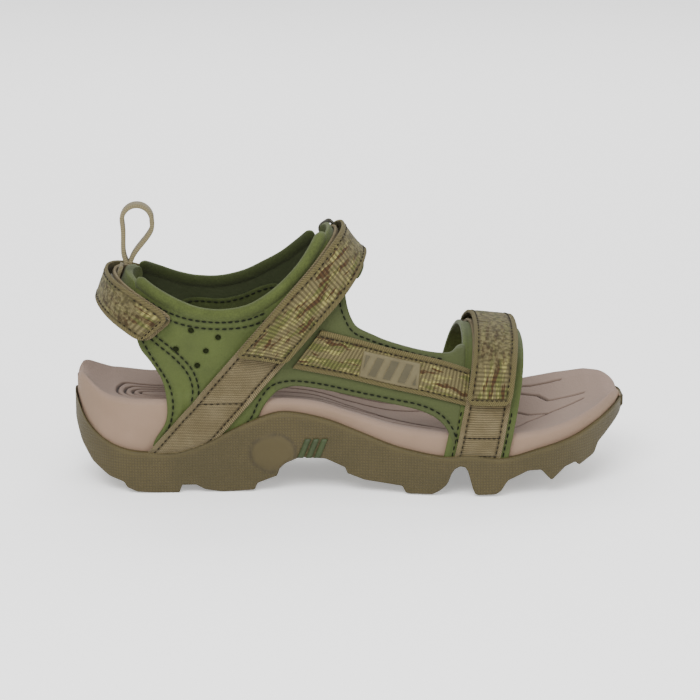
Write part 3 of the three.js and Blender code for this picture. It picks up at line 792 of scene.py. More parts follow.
def outsole_rubber():
    """The lugged cup sole: one closed tube of cross-sections along x."""
    kinks = np.concatenate([TREAD[1:-1, 0] + d for d in (-0.7, 0.5)])
    xs = sole_stations(SOLE_HALF + TIP - 0.01, 300, kinks[np.abs(kinks) < 119])
    rings, coords, walls, tones_and_edge_shades = [], [], [], []
    walks = {side: edge_walk(xs, side) for side in (LATERAL, MEDIAL)}
    for i, x in enumerate(xs):
        top = float(cup_edge(x))
        floor = cup_base(x)
        bottom = min(float(tread_height(x)), floor - 1.2)
        for side in (MEDIAL, LATERAL):
            edge = max(float(sole_edge(side, x)), 0.05)
            rim = max(edge - RIM_WALL * min(1, float(end_cap(x)) * 2), edge * 0.4)
            walk = walks[side][i]
            corner = min(1.1, edge * 0.3)
            points = []
            for share in (0.06, 0.22, 0.25, 0.4, 0.46, 0.7, 0.86):
                deep = 2.4 if (0.24 < share < 0.45 and (abs(x - 58) < 28)) else 0
                y = share * edge
                points.append((y, bottom + (deep if bottom < 2 else 0), 0))
            for a, b in round_corner(5):
                points.append((edge - corner * a, bottom + corner * b, 1 - a))
            height = top - 0.9 - (bottom + corner)
            for k in range(1, 16):
                points.append((edge, bottom + corner + height * k / 16, 1))
            for a, b in ((0.0, 0.0), (0.06, 0.35), (0.25, 0.68), (0.6, 0.92), (1.0, 1.0)):
                points.append((edge - 0.9 * a, top - 0.9 + 0.9 * b, 1 - a))
            points.append((rim + 0.5, top, 0))
            points.append((rim, top - 0.5, 0))
            points.append((rim, (top + floor) / 2, 0))
            points.append((rim, floor, 0))
            points.append((rim * 0.5, floor, 0))
            if side == LATERAL:
                points = points[::-1]
            for y, z, mask in points:
                out = 0.0
                raised = 0.0
                if mask > 0.99:
                    away = math.hypot((x - BOSS["x"]) / BOSS["rx"], (z - BOSS["z"]) / BOSS["rz"])
                    out = BOSS["out"] * min(1, max(0, (1.08 - away) / 0.2)) * (1 - 0.18 * min(1, away) ** 2)
                    # A slightly darker tone on the boss, and a ring of painted shade along its edge.
                    raised = max(0.25 * (away < 1), 0.75 * math.exp(-(((away - 1.03) / 0.08) ** 2)))
                    mask = mask * min(1, max(0, (away - 1.0) / 0.06))
                    lip = (top - z) / 1.6
                    mask = mask * min(1, max(0, lip - 0.5))
                rings.append((x, side * (y + out), z))
                coords.append((walk, z))
                walls.append(mask)
                tones_and_edge_shades.append(raised)
    around = len(rings) // len(xs)
    return make_object("outsole_rubber", toe_reach(rings), tube_faces(len(xs), around), RUBBER, coords,
                       {"wall": walls, "boss_tone_and_edge_shade": tones_and_edge_shades})


def foam_rim(x, v):
    """Height of the foam's rim: a little higher behind the heel and along the inner side of the toes."""
    back = 5.6 * np.clip((-104 - x) / 13, 0, 1) ** 1.5
    dip = -2.2 * np.exp(-(((x + 86) / 16) ** 2)) * np.clip(v, 0, 1)
    toes = 2.6 * np.clip((x - 55) / 40, 0, 1) * np.clip(v + 0.2, 0, 1) * np.clip((118 - x) / 11, 0, 1)
    return rim_height(x) + back + dip + toes


def groove_lines():
    """Thin grooves in the footbed's top, as lines in plan; their dark colour is painted shade."""
    lines = []
    for k in range(4):
        half = 12.4 - 2.8 * k
        back = -102 + 3.4 * k
        arc = [(-54, -half), (-78, -half), (back + 5, 0.3 - half), (back + 1, -0.55 * half), (back, 0)]
        lines.append(smooth_line(arc + [(x, -y) for x, y in arc[-2::-1]], 0.8))
    sweeps = [
        [(-44, -17), (-28, -14.6), (-10, -13), (8, -12.6), (22, -14)],
        [(-34, -4), (-18, -5), (0, -8), (18, -13), (34, -21)],
        [(-14, -20), (4, -20.6), (20, -23), (34, -27)],
        [(4, -9), (18, -12.6), (32, -19), (44, -28)],
        [(-40, 12), (-22, 9), (-4, 8.4), (16, 11), (34, 17)],
        [(-30, 3), (-10, 1), (10, 1.6), (30, 6), (44, 12)],
        [(-8, 17), (10, 18), (28, 23), (40, 29)],
    ]
    lines += [smooth_line(sweep, 0.8) for sweep in sweeps]
    zigzags = [
        [(74, 27), (86, 18), (90, 10), (105, 8)],
        [(104, 2), (90, -4), (78, -14), (70, -26)],
        [(62, 10), (74, 4), (80, -3), (88, -5)],
        [(70, 34), (84, 29), (97, 27)],
        [(50, -30), (58, -22), (60, -12), (66, -8)],
        [(50, 22), (58, 16), (60, 6), (68, 0)],
    ]
    lines += [resample(zigzag, 0.8) for zigzag in zigzags]
    return lines


def foam_bed():
    """Midsole and footbed as one foam body with a soft rim and grooves in its dished top."""
    reach = SOLE_HALF - foam_inset(SOLE_HALF)
    xs = sole_stations(reach + TIP - 0.01, 420)
    across = 160
    points, tops, on_top = [], [], []
    for x in xs:
        cap = float(end_cap(x * SOLE_HALF / reach))
        low = min(cup_base(x) + 0.35, float(rim_height(x)) - 4)
        dish = (DISH + 1.6 * math.exp(-(((x + 76) / 26) ** 2))) * math.sqrt(cap)
        end_round = 5.0 if x < 0 else 7.0
        near = max(0, 1 - (reach - abs(x)) / end_round)
        fall = end_round * (1 - math.sqrt(max(0, 1 - near**2)))
        edges = {side: max(float(sole_edge(side, x, foam_inset(x))), 0.04) for side in (LATERAL, MEDIAL)}
        radius = min(2.6, 0.4 * min(edges.values()) + 0.02)

        def wall(side):
            """(y, z, share of the top's colour) from the rim down one side."""
            shoulder = float(foam_rim(x, side)) - fall - 0.25 - radius
            inner = edges[side] - radius
            down = []
            for k in range(1, 8):
                a = math.pi / 2 * k / 7
                out, up = radius * math.sin(a), radius * math.cos(a)
                down.append((side * (inner + out), shoulder + up, 1 - k / 7))
            return down + [(side * edges[side], shoulder + (low - shoulder) * k / 8, 0) for k in range(1, 9)]

        ring = []
        for v in np.linspace(-1, 1, across):
            y = v * (edges[LATERAL if v < 0 else MEDIAL] - radius)
            ring.append((y, float(foam_rim(x, v)) - fall - dish * (1 - v**2) - 0.25 * abs(v) ** 8, 1))
            on_top.append(abs(v) < 0.97)
        ring += wall(MEDIAL)
        ring += [(-edges[LATERAL] + sum(edges.values()) * share, low, 0) for share in (0.75, 0.5, 0.25)]
        ring += wall(LATERAL)[::-1]
        on_top += [False] * (len(ring) - across)
        points += [(x, y, z) for y, z, _ in ring]
        tops += [top for _, _, top in ring]
    points = np.array(points)
    on_top = np.array(on_top)
    plan = points[on_top][:, :2]
    away = np.full(len(points), 9.0)
    away[on_top] = np.minimum.reduce([distance_to(plan, line) for line in groove_lines()])
    groove_depth_and_shade = np.clip(1 - away / GROOVE["half"], 0, 1)
    groove_depth_and_shade = groove_depth_and_shade * groove_depth_and_shade * (3 - 2 * groove_depth_and_shade)
    points[:, 2] -= GROOVE["depth"] * groove_depth_and_shade
    points = toe_reach(points)
    return make_object("foam_bed", points, tube_faces(len(xs), len(points) // len(xs)), FOAM, points[:, :2],
                       {"top": tops, "groove_depth_and_shade": groove_depth_and_shade})


def emblem_bars():
    """Three slanted bars moulded into the side of the sole."""
    bars = []
    for k, x in enumerate(BAR["places"]):
        outer, inner = [], []
        for u in np.linspace(-0.5, 0.5, 4):
            for v in np.linspace(-0.5, 0.5, 7):
                px = x + u * BAR["width"] + v * BAR["lean"]
                pz = BAR["z"] + v * BAR["height"]
                wall = float(sole_edge(LATERAL, np.array(px)))
                proud = 0.45 if max(abs(u), abs(v)) > 0.45 else 0.75
                outer.append((px, -wall - proud, pz))
                inner.append((px, -wall + 0.4, pz))
        bars.append(make_object(f"emblem_bar_{k}", outer + inner, slab_faces(4, 7), INLAY))
    return join("emblem_bars", bars)


finish_piece(outsole_rubber(), "root", ["outsole"])
foam = finish_piece(foam_bed(), "root", ["footbed", "midsole"])
finish_piece(emblem_bars(), "root", ["sole_emblem"])

# ---------------------------------------------------------------- soft shell

COLLAR = {
    LATERAL: [(-91, 92.6), (-84, 88), (-75, 83), (-66, 79.6), (-56, 78.4), (-45, 80), (-36, 84.6), (-28, 91),
              (-21, 98.4), (-15.5, 106), (-12.6, 110.4)],
    MEDIAL: [(-91, 89), (-84, 85.6), (-75, 82.2), (-66, 80.2), (-56, 80.2), (-45, 83), (-36, 87.6),
             (-28, 92.4), (-21, 98.4), (-15.5, 104)],
}
REAR_EDGE = [(-86, 13.5), (-85.6, 22), (-80.4, 31), (-79.5, 39), (-81.5, 49.4), (-86.2, 57.5), (-90.6, 63.6),
             (-92.6, 72), (-92.4, 82)]
ARCH_EDGE = [(44.5, 20), (42.6, 25), (40.6, 30), (35.8, 34.4), (29, 37.2), (18, 39.4), (2.6, 42), (-13, 45.2),
             (-24, 46.6), (-31, 45), (-35.4, 41.4), (-38.4, 37.2), (-40.4, 33), (-43, 29), (-50, 24),
             (-60, 18), (-66, 13.5)]
FRONT_EDGE = [(-3, 87), (-1.6, 79.6), (0.4, 74.6), (2.8, 71.6), (9.5, 68.4), (16.2, 65.7), (31.5, 61.2),
              (42, 59.4), (46, 61), (50, 61)]
MEDIAL_EDGE = [(-8, 84), (-17, 73), (-27, 61), (-36, 51), (-47, 39), (-58, 27), (-66, 13.5)]


def closed_outline(parts):
    points = np.concatenate([np.asarray(part, float) for part in parts])
    return resample(np.concatenate([points, points[:1]]), 0.9)[:-1]


def collar_line(side):
    return offset_line(smooth_line(COLLAR[side]), -1.0)


def quarter_outline(side):
    if side == LATERAL:
        return closed_outline([collar_line(side), [(-3.5, 92.5)], smooth_line(FRONT_EDGE),
                               smooth_line(ARCH_EDGE), smooth_line(REAR_EDGE)])
    return closed_outline([collar_line(side), [(-6, 91)], smooth_line(MEDIAL_EDGE), smooth_line(REAR_EDGE)])


def circle(x, z, radius, count=14):
    angle = np.linspace(0, 2 * np.pi, count, endpoint=False)
    return np.stack([x + radius * np.cos(angle), z + radius * np.sin(angle)], axis=1)


def shell_piece(name, side, loop, seams, holes, panels, raised, lifts=LAYER["shell"], material=None):
    """A soft shell on one side of the foot form, cut to an outline, with sunk seams, holes and pods."""
    step = 1.15
    low, high = loop.min(axis=0), loop.max(axis=0)
    xs = np.arange(low[0], high[0], step)
    zs = np.arange(low[1], high[1], step * 0.87)
    gx, gz = np.meshgrid(xs, zs)
    gx = gx + (np.arange(len(zs)) % 2)[:, None] * step / 2
    grid = np.stack([gx.ravel(), gz.ravel()], axis=1)
    near = np.minimum.reduce([distance_to(grid, ring, True) for ring in [loop] + holes])
    keep = inside(grid, loop) & (near > 1.0)
    for hole in holes:
        keep &= ~inside(grid, hole)
    rounds = []
    for ring, way in [(loop, 1)] + [(hole, -1) for hole in holes]:
        tangent = np.roll(ring, -1, axis=0) - np.roll(ring, 1, axis=0)
        tangent /= np.maximum(np.linalg.norm(tangent, axis=1, keepdims=True), 1e-9)
        sign = way if signed_area(ring) > 0 else -way
        for d in (0.3, 0.75):
            moved = ring + sign * d * np.stack([-tangent[:, 1], tangent[:, 0]], axis=1)
            clear = distance_to(moved, loop, True) > d * 0.85
            for hole in holes:
                clear &= distance_to(moved, hole, True) > d * 0.85
            rounds.append(moved[clear & inside(moved, loop)])
    edges, points = [], []
    for ring in [loop] + holes:
        first = len(points)
        points += ring.tolist()
        edges += [(first + i, first + (i + 1) % len(ring)) for i in range(len(ring))]
    points += np.concatenate([grid[keep]] + rounds).tolist()
    flat, _, faces, _, _, _ = delaunay_2d_cdt([Vector(p) for p in points], edges, [], 0, 1e-4)
    flat = np.array([(p.x, p.y) for p in flat])
    faces = np.array([f for f in faces if len(f) == 3])
    centre = flat[faces].mean(axis=1)
    good = inside(centre, loop)
    for hole in holes:
        good &= ~inside(centre, hole)
    faces = faces[good]
    used = np.unique(faces)
    renumber = np.full(len(flat), -1)
    renumber[used] = np.arange(len(used))
    flat, faces = flat[used], renumber[faces]
    edge = np.minimum.reduce([distance_to(flat, ring, True) for ring in [loop] + holes])
    seam = np.zeros(len(flat))
    for line in seams:
        seam = np.maximum(seam, np.exp(-((distance_to(flat, line) / 0.75) ** 2)))
    panel = np.zeros(len(flat))
    step_up = np.zeros(len(flat))
    for outline, thick in panels:
        d = distance_to(flat, outline, True)
        inner = inside(flat, outline)
        step_up += thick * np.where(inner, np.clip(d / 0.8, 0, 1), 0)
        panel = np.maximum(panel, np.where(inner, 1.0, 0.0))
    for outline, thick, soft in raised:
        d = distance_to(flat, outline, True)
        step_up += thick * np.where(inside(flat, outline), np.clip(d / soft, 0, 1) ** 0.6, 0)
    out = math.copysign(1, lifts[1] - lifts[0])
    rim = np.clip(1 - edge / 0.85, 0, 1)
    crown = 0.7 * rim**2 + 0.3 * seam - step_up
    outer, _ = side_point(side, flat[:, 0], flat[:, 1], lifts[1] - out * crown)
    inner_side, _ = side_point(side, flat[:, 0], flat[:, 1], lifts[0] + out * 0.35 * rim)
    count = len(flat)
    mesh_faces = [tuple(f) for f in faces] + [tuple(f[::-1] + count) for f in faces]
    sides = {}
    for a, b, c in faces:
        for p, q in ((a, b), (b, c), (c, a)):
            sides[(p, q)] = sides.get((p, q), 0) + 1
    for p, q in sides:
        if (q, p) not in sides:
            mesh_faces.append((q, p, p + count, q + count))
    vertices = np.concatenate([outer, inner_side])
    zero = np.zeros(count)
    inner_share = np.concatenate([zero, np.ones(count)])
    return make_object(name, vertices, mesh_faces, material or SHELL, np.concatenate([flat, flat]),
                       {"seam": np.concatenate([seam, zero]), "panel": np.concatenate([panel, zero]),
                        "inner_shade": inner_share})


def signed_area(ring):
    x, y = ring[:, 0], ring[:, 1]
    return 0.5 * float(np.sum(x * np.roll(y, -1) - np.roll(x, -1) * y))


def rounded_pill(points):
    """A smooth closed loop through points."""
    return smooth_line(points + points[:1], 0.8)[:-1]


UNDER_COLLAR = [(-88, 85.2), (-77.8, 79.3), (-68.4, 76.3), (-56, 75), (-45, 76), (-37, 79)]
REAR_SEAM = [(-86.6, 68.6), (-84.1, 66.2), (-76.2, 59.7), (-70.7, 53.2), (-68.4, 45.9), (-69.1, 40.2)]
HEM = [(-89.8, 68), (-87.4, 62.8), (-83, 55.8), (-78.6, 48), (-76.8, 40), (-77.8, 32), (-80.6, 26)]
ARCH_HEM = [(47, 21), (45, 26), (42.8, 31.4), (38, 36.2), (30, 39.6), (18, 41.8), (2.6, 44.5), (-13, 47.8),
            (-25, 49.2), (-33, 47.8), (-38, 43.4), (-41, 38.4), (-43.2, 33), (-46, 30)]
FRONT_HEM = [(-6.4, 88), (-5, 80), (-2.6, 74), (0.8, 69.4), (8.4, 66), (16.2, 63.4), (31.5, 58.8), (39, 57)]
MEDIAL_HEM = [(-11, 83.4), (-19.4, 73.4), (-29.4, 61.4), (-38.4, 51.6), (-49.4, 39.6), (-57, 30)]
POD = [(-82.6, 57.4), (-77.6, 55), (-73.4, 49.6), (-72, 43), (-72.6, 36.6), (-74.8, 34.6), (-75.6, 40),
       (-77.2, 47.6), (-80.8, 53.4)]
HOLES = [(-68.8, 71.6), (-57.3, 68.4), (-75.4, 63.4), (-62.6, 62.5), (-66.4, 56.1)]


def shell_rows(side):
    """Stitch rows of one quarter, as lines in the x-z plane."""
    under = smooth_line(UNDER_COLLAR)
    rows = [under, offset_line(under, -2.9), smooth_line(HEM)]
    rear = smooth_line(REAR_SEAM)
    rows += [rear, offset_line(rear, 2.5)]
    if side == LATERAL:
        rows += [smooth_line(ARCH_HEM), smooth_line(FRONT_HEM)]
    else:
        rows += [smooth_line(MEDIAL_HEM)]
    return rows


FRONT_PANEL = [(-33, 43.8), (-25, 46.2), (-13, 44.9), (2.6, 41.7), (18, 39.1), (29, 36.9), (35.6, 34.1),
               (40.4, 29.6), (42.4, 24.8), (44.2, 20), (49.8, 24), (49.8, 60.8), (46, 60.8), (42, 59.2),
               (31.5, 61), (16.2, 65.5), (9.5, 68.2), (2.6, 71.4), (0.2, 74.6), (-1.8, 79.6), (-3.2, 87),
               (-4.4, 91), (-12, 93), (-18, 86), (-23, 77), (-29, 66), (-33, 58)]


def quarter(side, name):
    holes = [circle(x, z, 1.25) for x, z in HOLES] if side == LATERAL else []
    panels = [(closed_outline([FRONT_PANEL]), 0.5)] if side == LATERAL else []
    raised = [(rounded_pill(POD), 0.7, 1.2)]
    return shell_piece(name, side, quarter_outline(side), shell_rows(side), holes, panels, raised)


for side, name in ((LATERAL, "lateral"), (MEDIAL, "medial")):
    finish_piece(quarter(side, f"{name}_shell"), "root", [f"{name}_quarter"])


def rolled_edge(name, side, node):
    """A padded collar edge: a roll along the collar line that flattens downwards into the shell."""
    edge = smooth_line(COLLAR[side], 0.5)
    length = np.arange(len(edge)) * 0.5
    near = np.minimum(length, length[-1] - length)
    size = np.sqrt(np.clip(1 - (1 - np.clip(near / 2.4, 0, 1)) ** 2, 0.01, 1))
    tangent = np.gradient(edge, axis=0)
    tangent /= np.linalg.norm(tangent, axis=1, keepdims=True)
    down = np.stack([tangent[:, 1], -tangent[:, 0]], axis=1)
    around = 28
    rings = []
    for k in range(around):
        angle = 2 * np.pi * k / around
        low = -2.3 * math.cos(angle) if math.cos(angle) > 0 else -3.6 * math.cos(angle)
        thick = 2.15 * math.sin(angle)
        if math.cos(angle) < 0:
            thick *= 1 - 0.35 * math.cos(angle) ** 2
        place = edge + down * (low * size)[:, None]
        points, _ = side_point(side, place[:, 0], place[:, 1], 0.9 + thick * size)
        rings.append(points)
    vertices = np.stack(rings, axis=1).reshape(-1, 3)
    # The roll's inner side gets the painted shade of the inside.
    obj = make_object(name, vertices, tube_faces(len(edge), around), PADDING, attributes={
        "inner_shade": np.tile([1.0 if math.sin(2 * math.pi * k / around) < -0.25 else 0.0 for k in range(around)],
                          len(edge))})
    finish_piece(obj, "root", [node])


for side, name in ((LATERAL, "lateral"), (MEDIAL, "medial")):
    rolled_edge(f"{name}_collar_roll", side, f"collar_roll_{name}")


# ---------------------------------------------------------------- cloth bands

def band_section(width, low, high, count, crown=0.0):
    """(across, height, share) round a flat band's section; share is 1 on its outer face."""
    half = width / 2
    corner = min(0.45, (high - low) * 0.4)
    reach = half - corner
    section = [(v, high + crown * (1 - (v / half) ** 2), 1.0) for v in np.linspace(-reach, reach, count)]

    def arc(across, height, start, steps, share):
        for k in steps:
            turn = math.radians(start + 22.5 * k)
            section.append((across + corner * math.sin(turn), height + corner * math.cos(turn), share))

    arc(reach, high - corner, 0, (1, 2, 3), 0.5)
    arc(reach, low + corner, 90, (0, 1, 2, 3), 0.0)
    section.extend((v, low, 0.0) for v in np.linspace(reach, -reach, 6))
    arc(-reach, low + corner, 180, (1, 2, 3), 0.0)
    arc(-reach, high - corner, 270, (0, 1, 2, 3), 0.5)
    return np.array(section)


def cloth_band(name, surface, start, end, width, lifts, material, shift=0.0, ribs=0.12, pitch=0.95, count=19,
               corner_start=0.0, corner_end=0.0, crown=0.0, sunk=(), step=0.34, hem=2.3, velvet_from=None):
    """A woven band on a strap's surface: real ribs, borders, rounded ends, and velvet past velvet_from."""
    section = band_section(width, lifts[0], lifts[1], count, crown)
    mm = np.linspace(start, end, max(4, round(abs(end - start) / step)) + 1)
    tips = [start + math.copysign(d, end - start) for d in (0.08, 0.2)]
    tips += [end - math.copysign(d, end - start) for d in (0.08, 0.2)]
    mm = np.unique(np.concatenate([mm, tips]))
    from_start = np.abs(mm - start)
    from_end = np.abs(mm - end)
    half = np.full(len(mm), width / 2)
    for away, corner in ((from_start, corner_start), (from_end, corner_end)):
        if corner:
            near = np.clip(corner - away, 0, corner)
            half = np.minimum(half, width / 2 - corner + np.sqrt(corner**2 - near**2))
    tuck = 0.3 * np.clip(1 - np.minimum(from_start, from_end) / 0.3, 0, 1) ** 2
    v = section[None, :, 0] * (half / (width / 2))[:, None]
    from_edge = width / 2 - np.abs(section[None, :, 0]) + 0 * v
    for away, corner in ((from_start, corner_start), (from_end, corner_end)):
        if corner:
            from_edge = np.minimum(from_edge, away[:, None])
    border = np.clip((hem - from_edge) / 0.3, 0, 1)
    line = np.exp(-(((from_edge - hem) / 0.3) ** 2))
    for place in sunk:
        line = np.maximum(line, np.exp(-(((mm - place) / 0.35) ** 2))[:, None] * (1 - border))
    velvet = np.zeros_like(v)
    if velvet_from is not None:
        wander = 2.2 * np.sin(v * 0.9 + 1.0) + 1.4 * np.sin(v * 2.1)
        velvet = np.clip((mm[:, None] - velvet_from + wander) / 3.0, 0, 1) * (1 - border)
    rib = 0.5 - 0.5 * np.cos(2 * np.pi * mm / pitch)
    drop = ribs * (1 - rib)[:, None] * (1 - border) * (1 - velvet)
    drop = drop + (0.22 * line + 0.05 * (1 - border)) * (1.0 if ribs else 0.35)
    rumple = 0.11 * np.sin(mm[:, None] * 1.9 + 2 * np.sin(v * 0.8)) * np.sin(v * 1.7 + mm[:, None] * 0.5)
    drop = drop + velvet * (0.05 + rumple)
    middle_height = (lifts[0] + lifts[1]) / 2
    flatter = (1 - tuck / (lifts[1] - lifts[0]))[:, None]
    height = middle_height + (section[None, :, 1] - middle_height) * flatter
    height = height - drop * section[None, :, 2]
    where = np.broadcast_to(mm[:, None], height.shape)
    points, _ = surface.at(where, v + shift, height)
    uv = np.stack([where, v + 0 * where], axis=-1).reshape(-1, 2)
    marks = {"border": border, "line": line, "velvet": velvet}
    marks = {key: (value + 0 * v).ravel() for key, value in marks.items()}
    if material in (SHELL, PADDING):
        marks = {"seam": 0.5 * marks["line"]}
    around = len(section)
    return make_object(name, points.reshape(-1, 3), tube_faces(len(mm), around), material, uv, marks)


class SideSurface:
    """A strip of one side of the foot form between two lines, told in millimetres along its middle."""

    def __init__(self, side, lower, upper):
        self.side = side
        low = smooth_line(lower, 0.5)
        high = smooth_line(upper, 0.5)
        t = np.linspace(0, 1, 200)
        self.low = np.stack([np.interp(t, np.linspace(0, 1, len(low)), low[:, k]) for k in (0, 1)], axis=1)
        self.high = np.stack([np.interp(t, np.linspace(0, 1, len(high)), high[:, k]) for k in (0, 1)], axis=1)
        centre = (self.low + self.high) / 2
        self.mm = np.concatenate([[0], np.cumsum(np.linalg.norm(np.diff(centre, axis=0), axis=1))])
        self.length = self.mm[-1]
        self.width = float(np.linalg.norm(self.high - self.low, axis=1).mean())

    def at(self, mm, v, lift):
        mm, v, lift = np.broadcast_arrays(*(np.asarray(given, float) for given in (mm, v, lift)))
        share = v / self.width + 0.5
        low = np.stack([np.interp(mm, self.mm, self.low[:, k]) for k in (0, 1)], axis=-1)
        high = np.stack([np.interp(mm, self.mm, self.high[:, k]) for k in (0, 1)], axis=-1)
        place = low + (high - low) * share[..., None]
        return side_point(self.side, place[..., 0], place[..., 1], lift)


ankle, toe, heel = SURFACE["ankle"], SURFACE["toe"], SURFACE["heel"]


INNER_PATCH = [(-75, 66), (-74, 71), (-68, 72.6), (-56, 72), (-47, 74), (-38, 78), (-31, 79.4), (-28.6, 75),
               (-33, 68), (-42, 61), (-55, 57), (-68, 58.6)]


SHADE_SHEET_OUTLINE = [(-80, 62), (-77, 71), (-69, 76), (-57, 73.5), (-52, 68), (-57, 59), (-64, 52), (-70, 53)]


def inner_patch():
    """A sewn reinforcement on the inner face of the inner side."""
    outline = rounded_pill(INNER_PATCH)
    seam = offset_line(np.concatenate([outline, outline[:2]]), -1.6)
    return shell_piece("inner_patch", MEDIAL, outline, [seam], [], [], [], (-0.1, -1.3), SHADED_PADDING)


finish_piece(inner_patch(), "root")
# A dark sheet behind the perforations, so the holes show painted shade instead of the foam.
shade_sheet = shell_piece("perforation_shade_sheet", LATERAL, rounded_pill(SHADE_SHEET_OUTLINE), [], [], [], [], (-0.1, -0.8),
                      SHADED_PADDING)
finish_piece(shade_sheet, "root")
toe_pad = cloth_band("toe_pad_shell", toe, -73, 75, 27, (0.2, 2.05), SHELL, -0.5, ribs=0, count=40, step=0.6,
                     hem=2.4)
finish_piece(toe_pad, "root", ["toe_pad"])
instep_pad = cloth_band("instep_pad_cloth", ankle, -15, 14, 24, LAYER["shell"], PADDING, ribs=0, count=24,
                        corner_start=3, corner_end=3, step=0.6, hem=1.5)
finish_piece(instep_pad, "root", ["instep_pad"])
heel_pad = cloth_band("heel_pad_roll", heel, -21.5, 21.5, 21, (-4.6, -1.2), PADDING, ribs=0, count=30,
                      corner_start=6, corner_end=6, crown=0.5, step=0.6, hem=2.2)
finish_piece(heel_pad, "root", ["heel_pad"])

CROSS_SEAMS = {"ankle": (-96,), "toe": (-70.5, -62), "heel": ()}
for name, closure in CLOSURES.items():
    strap = cloth_band(f"{name}_base_webbing", SURFACE[name], closure["lower"], closure["bar"],
                       closure["width"], LAYER["webbing"], WEBBING, sunk=CROSS_SEAMS[name],
                       corner_start=4.5 if name == "heel" else 0)
    finish_piece(strap, "root", [f"{name}_strap_lateral"])
for name, start, end in (("ankle", 19, 126), ("toe", 38, 73), ("heel", 41, 52)):
    strap = cloth_band(f"{name}_inner_webbing", SURFACE[name], start, end, CLOSURES[name]["width"],
                       LAYER["webbing"], WEBBING)
    finish_piece(strap, "root", [f"{name}_strap_medial"])

INSTEP = {
    LATERAL: SideSurface(LATERAL, [(-25.4, 55), (-4, 50.8), (15, 46.8), (34, 43), (49, 39.5)],
                         [(-13, 71.2), (0, 67.4), (15, 63.2), (34, 57.8), (50.6, 52.2)]),
    MEDIAL: SideSurface(MEDIAL, [(-40.4, 42.4), (-20, 39.6), (0, 36.4), (20, 33.2), (46.8, 31)],
                        [(-29, 53.4), (-15, 49.6), (0, 46), (20, 43), (48.4, 40.3)]),
}
for side, name in ((LATERAL, "lateral"), (MEDIAL, "medial")):
    surface = INSTEP[side]
    strap = cloth_band(f"instep_webbing_{name}", surface, 0, surface.length, surface.width, LAYER["webbing"],
                       CAMO, pitch=CAMO_RIB)
    finish_piece(strap, "root", [f"instep_strap_{name}"])


def badge():
    """A soft slanted badge on the instep strap, with plain raised bars."""
    surface = SideSurface(LATERAL, [(3.4, 51.4), (16, 48.6), (29, 46)],
                          [(5.4, 62), (17.6, 59.2), (29.6, 56.2)])
    width, length = surface.width, surface.length
    rows, columns = 111, 51
    mm = np.repeat(np.linspace(0, length, rows), columns)
    v = np.tile(np.linspace(-width / 2, width / 2, columns), rows)
    edge = np.minimum(np.minimum(mm, length - mm), width / 2 - np.abs(v))
    raised = ((mm - 0.35 * v + 1.2) % 6.3 < 3.4) & (edge > 1.3)
    top, _ = surface.at(mm, v, 4.2 - 0.5 * np.clip(1 - edge / 0.5, 0, 1) + 0.45 * raised)
    under, _ = surface.at(mm, v, 3.5)
    obj = make_object("instep_badge_relief", np.concatenate([top, under]), slab_faces(rows, columns), BADGE)
    obj.data.materials.append(BADGE_TRIM)
    marks = np.concatenate([raised, np.zeros(len(raised))])
    for polygon in obj.data.polygons:
        polygon.material_index = int(marks[list(polygon.vertices)].mean() > 0.9)
    return obj


finish_piece(badge(), "root", ["instep_badge"])

# ---------------------------------------------------------------- closures

VELVET = {"ankle": -16, "toe": -36, "heel": -33}


def ring_frame(surface, closure):
    """A moulded rectangular ring lying on the strap, with rounded bars and corners."""
    low, high = LAYER["ring"]
    middle_lift = (low + high) / 2
    near = closure["bar"]
    far = closure["bar"] - RING["bar"] / 2 + RING["length"] - RING["wall"] / 2
    half = closure["width"] / 2 + 0.7 + (RING["overhang"] - 0.7) / 2
    corner = 2.2
    path = []
    for a0, cx, cy in ((0, far - corner, half - corner), (90, near + corner, half - corner),
                       (180, near + corner, -half + corner), (270, far - corner, -half + corner)):
        for k in range(9):
            a = math.radians(a0 + 90 * k / 8)
            path.append((cx + corner * math.cos(a), cy + corner * math.sin(a)))
    path = resample(np.array(path + path[:1]), 0.8)[:-1]
    tangent = np.roll(path, -1, axis=0) - np.roll(path, 1, axis=0)
    tangent /= np.linalg.norm(tangent, axis=1, keepdims=True)
    normal = np.stack([tangent[:, 1], -tangent[:, 0]], axis=1)
    around = 14
    vertices = []
    for p, n in zip(path, normal):
        wide = RING["slim"] + (RING["stout"] - RING["slim"]) * np.clip((p[0] - near) / 3.0, 0, 1)
        if abs(p[1]) > half - 0.5:
            wide = RING["stout"]
        for k in range(around):
            a = 2 * math.pi * k / around
            c, s = math.cos(a), math.sin(a)
            square = (abs(c) ** 3 + abs(s) ** 3) ** (-1 / 3)
            q = p + n * wide * c * square
            vertices.append((q[0], q[1], middle_lift + RING["tall"] * s * square))
    vertices = np.array(vertices)
    points, _ = surface.at(vertices[:, 0], vertices[:, 1], vertices[:, 2])
    count = len(path)
    faces = []
    for i in range(count):
        for j in range(around):
            i2, j2 = (i + 1) % count, (j + 1) % around
            faces.append((i * around + j, i * around + j2, i2 * around + j2, i2 * around + j))
    return points, faces


def fold(name, surface, closure):
    """The webbing where it turns back round the ring's near bar."""
    low, high = LAYER["webbing"][0], LAYER["flap"][1]
    centre = (low + high) / 2
    section = band_section(closure["width"], 0, LAYER["webbing"][1] - low, 17)
    inner = centre - LAYER["webbing"][1]
    vertices, uv = [], []
    turns = np.linspace(-np.pi / 2 - 0.12, np.pi / 2 + 0.12, 30)
    for turn in turns:
        radius = inner + section[:, 1]
        rib = 0.1 * (0.5 - 0.5 * math.cos(turn * 2 * math.pi / 0.62))
        radius = radius - rib * section[:, 2]
        mm = closure["bar"] + radius * math.cos(turn)
        points, _ = surface.at(mm, section[:, 0], centre + radius * math.sin(turn))
        vertices += points.tolist()
        uv += [(closure["bar"] + turn * 2.3, v) for v in section[:, 0]]
    return make_object(name, vertices, tube_faces(len(turns), len(section)), CAMO, uv)


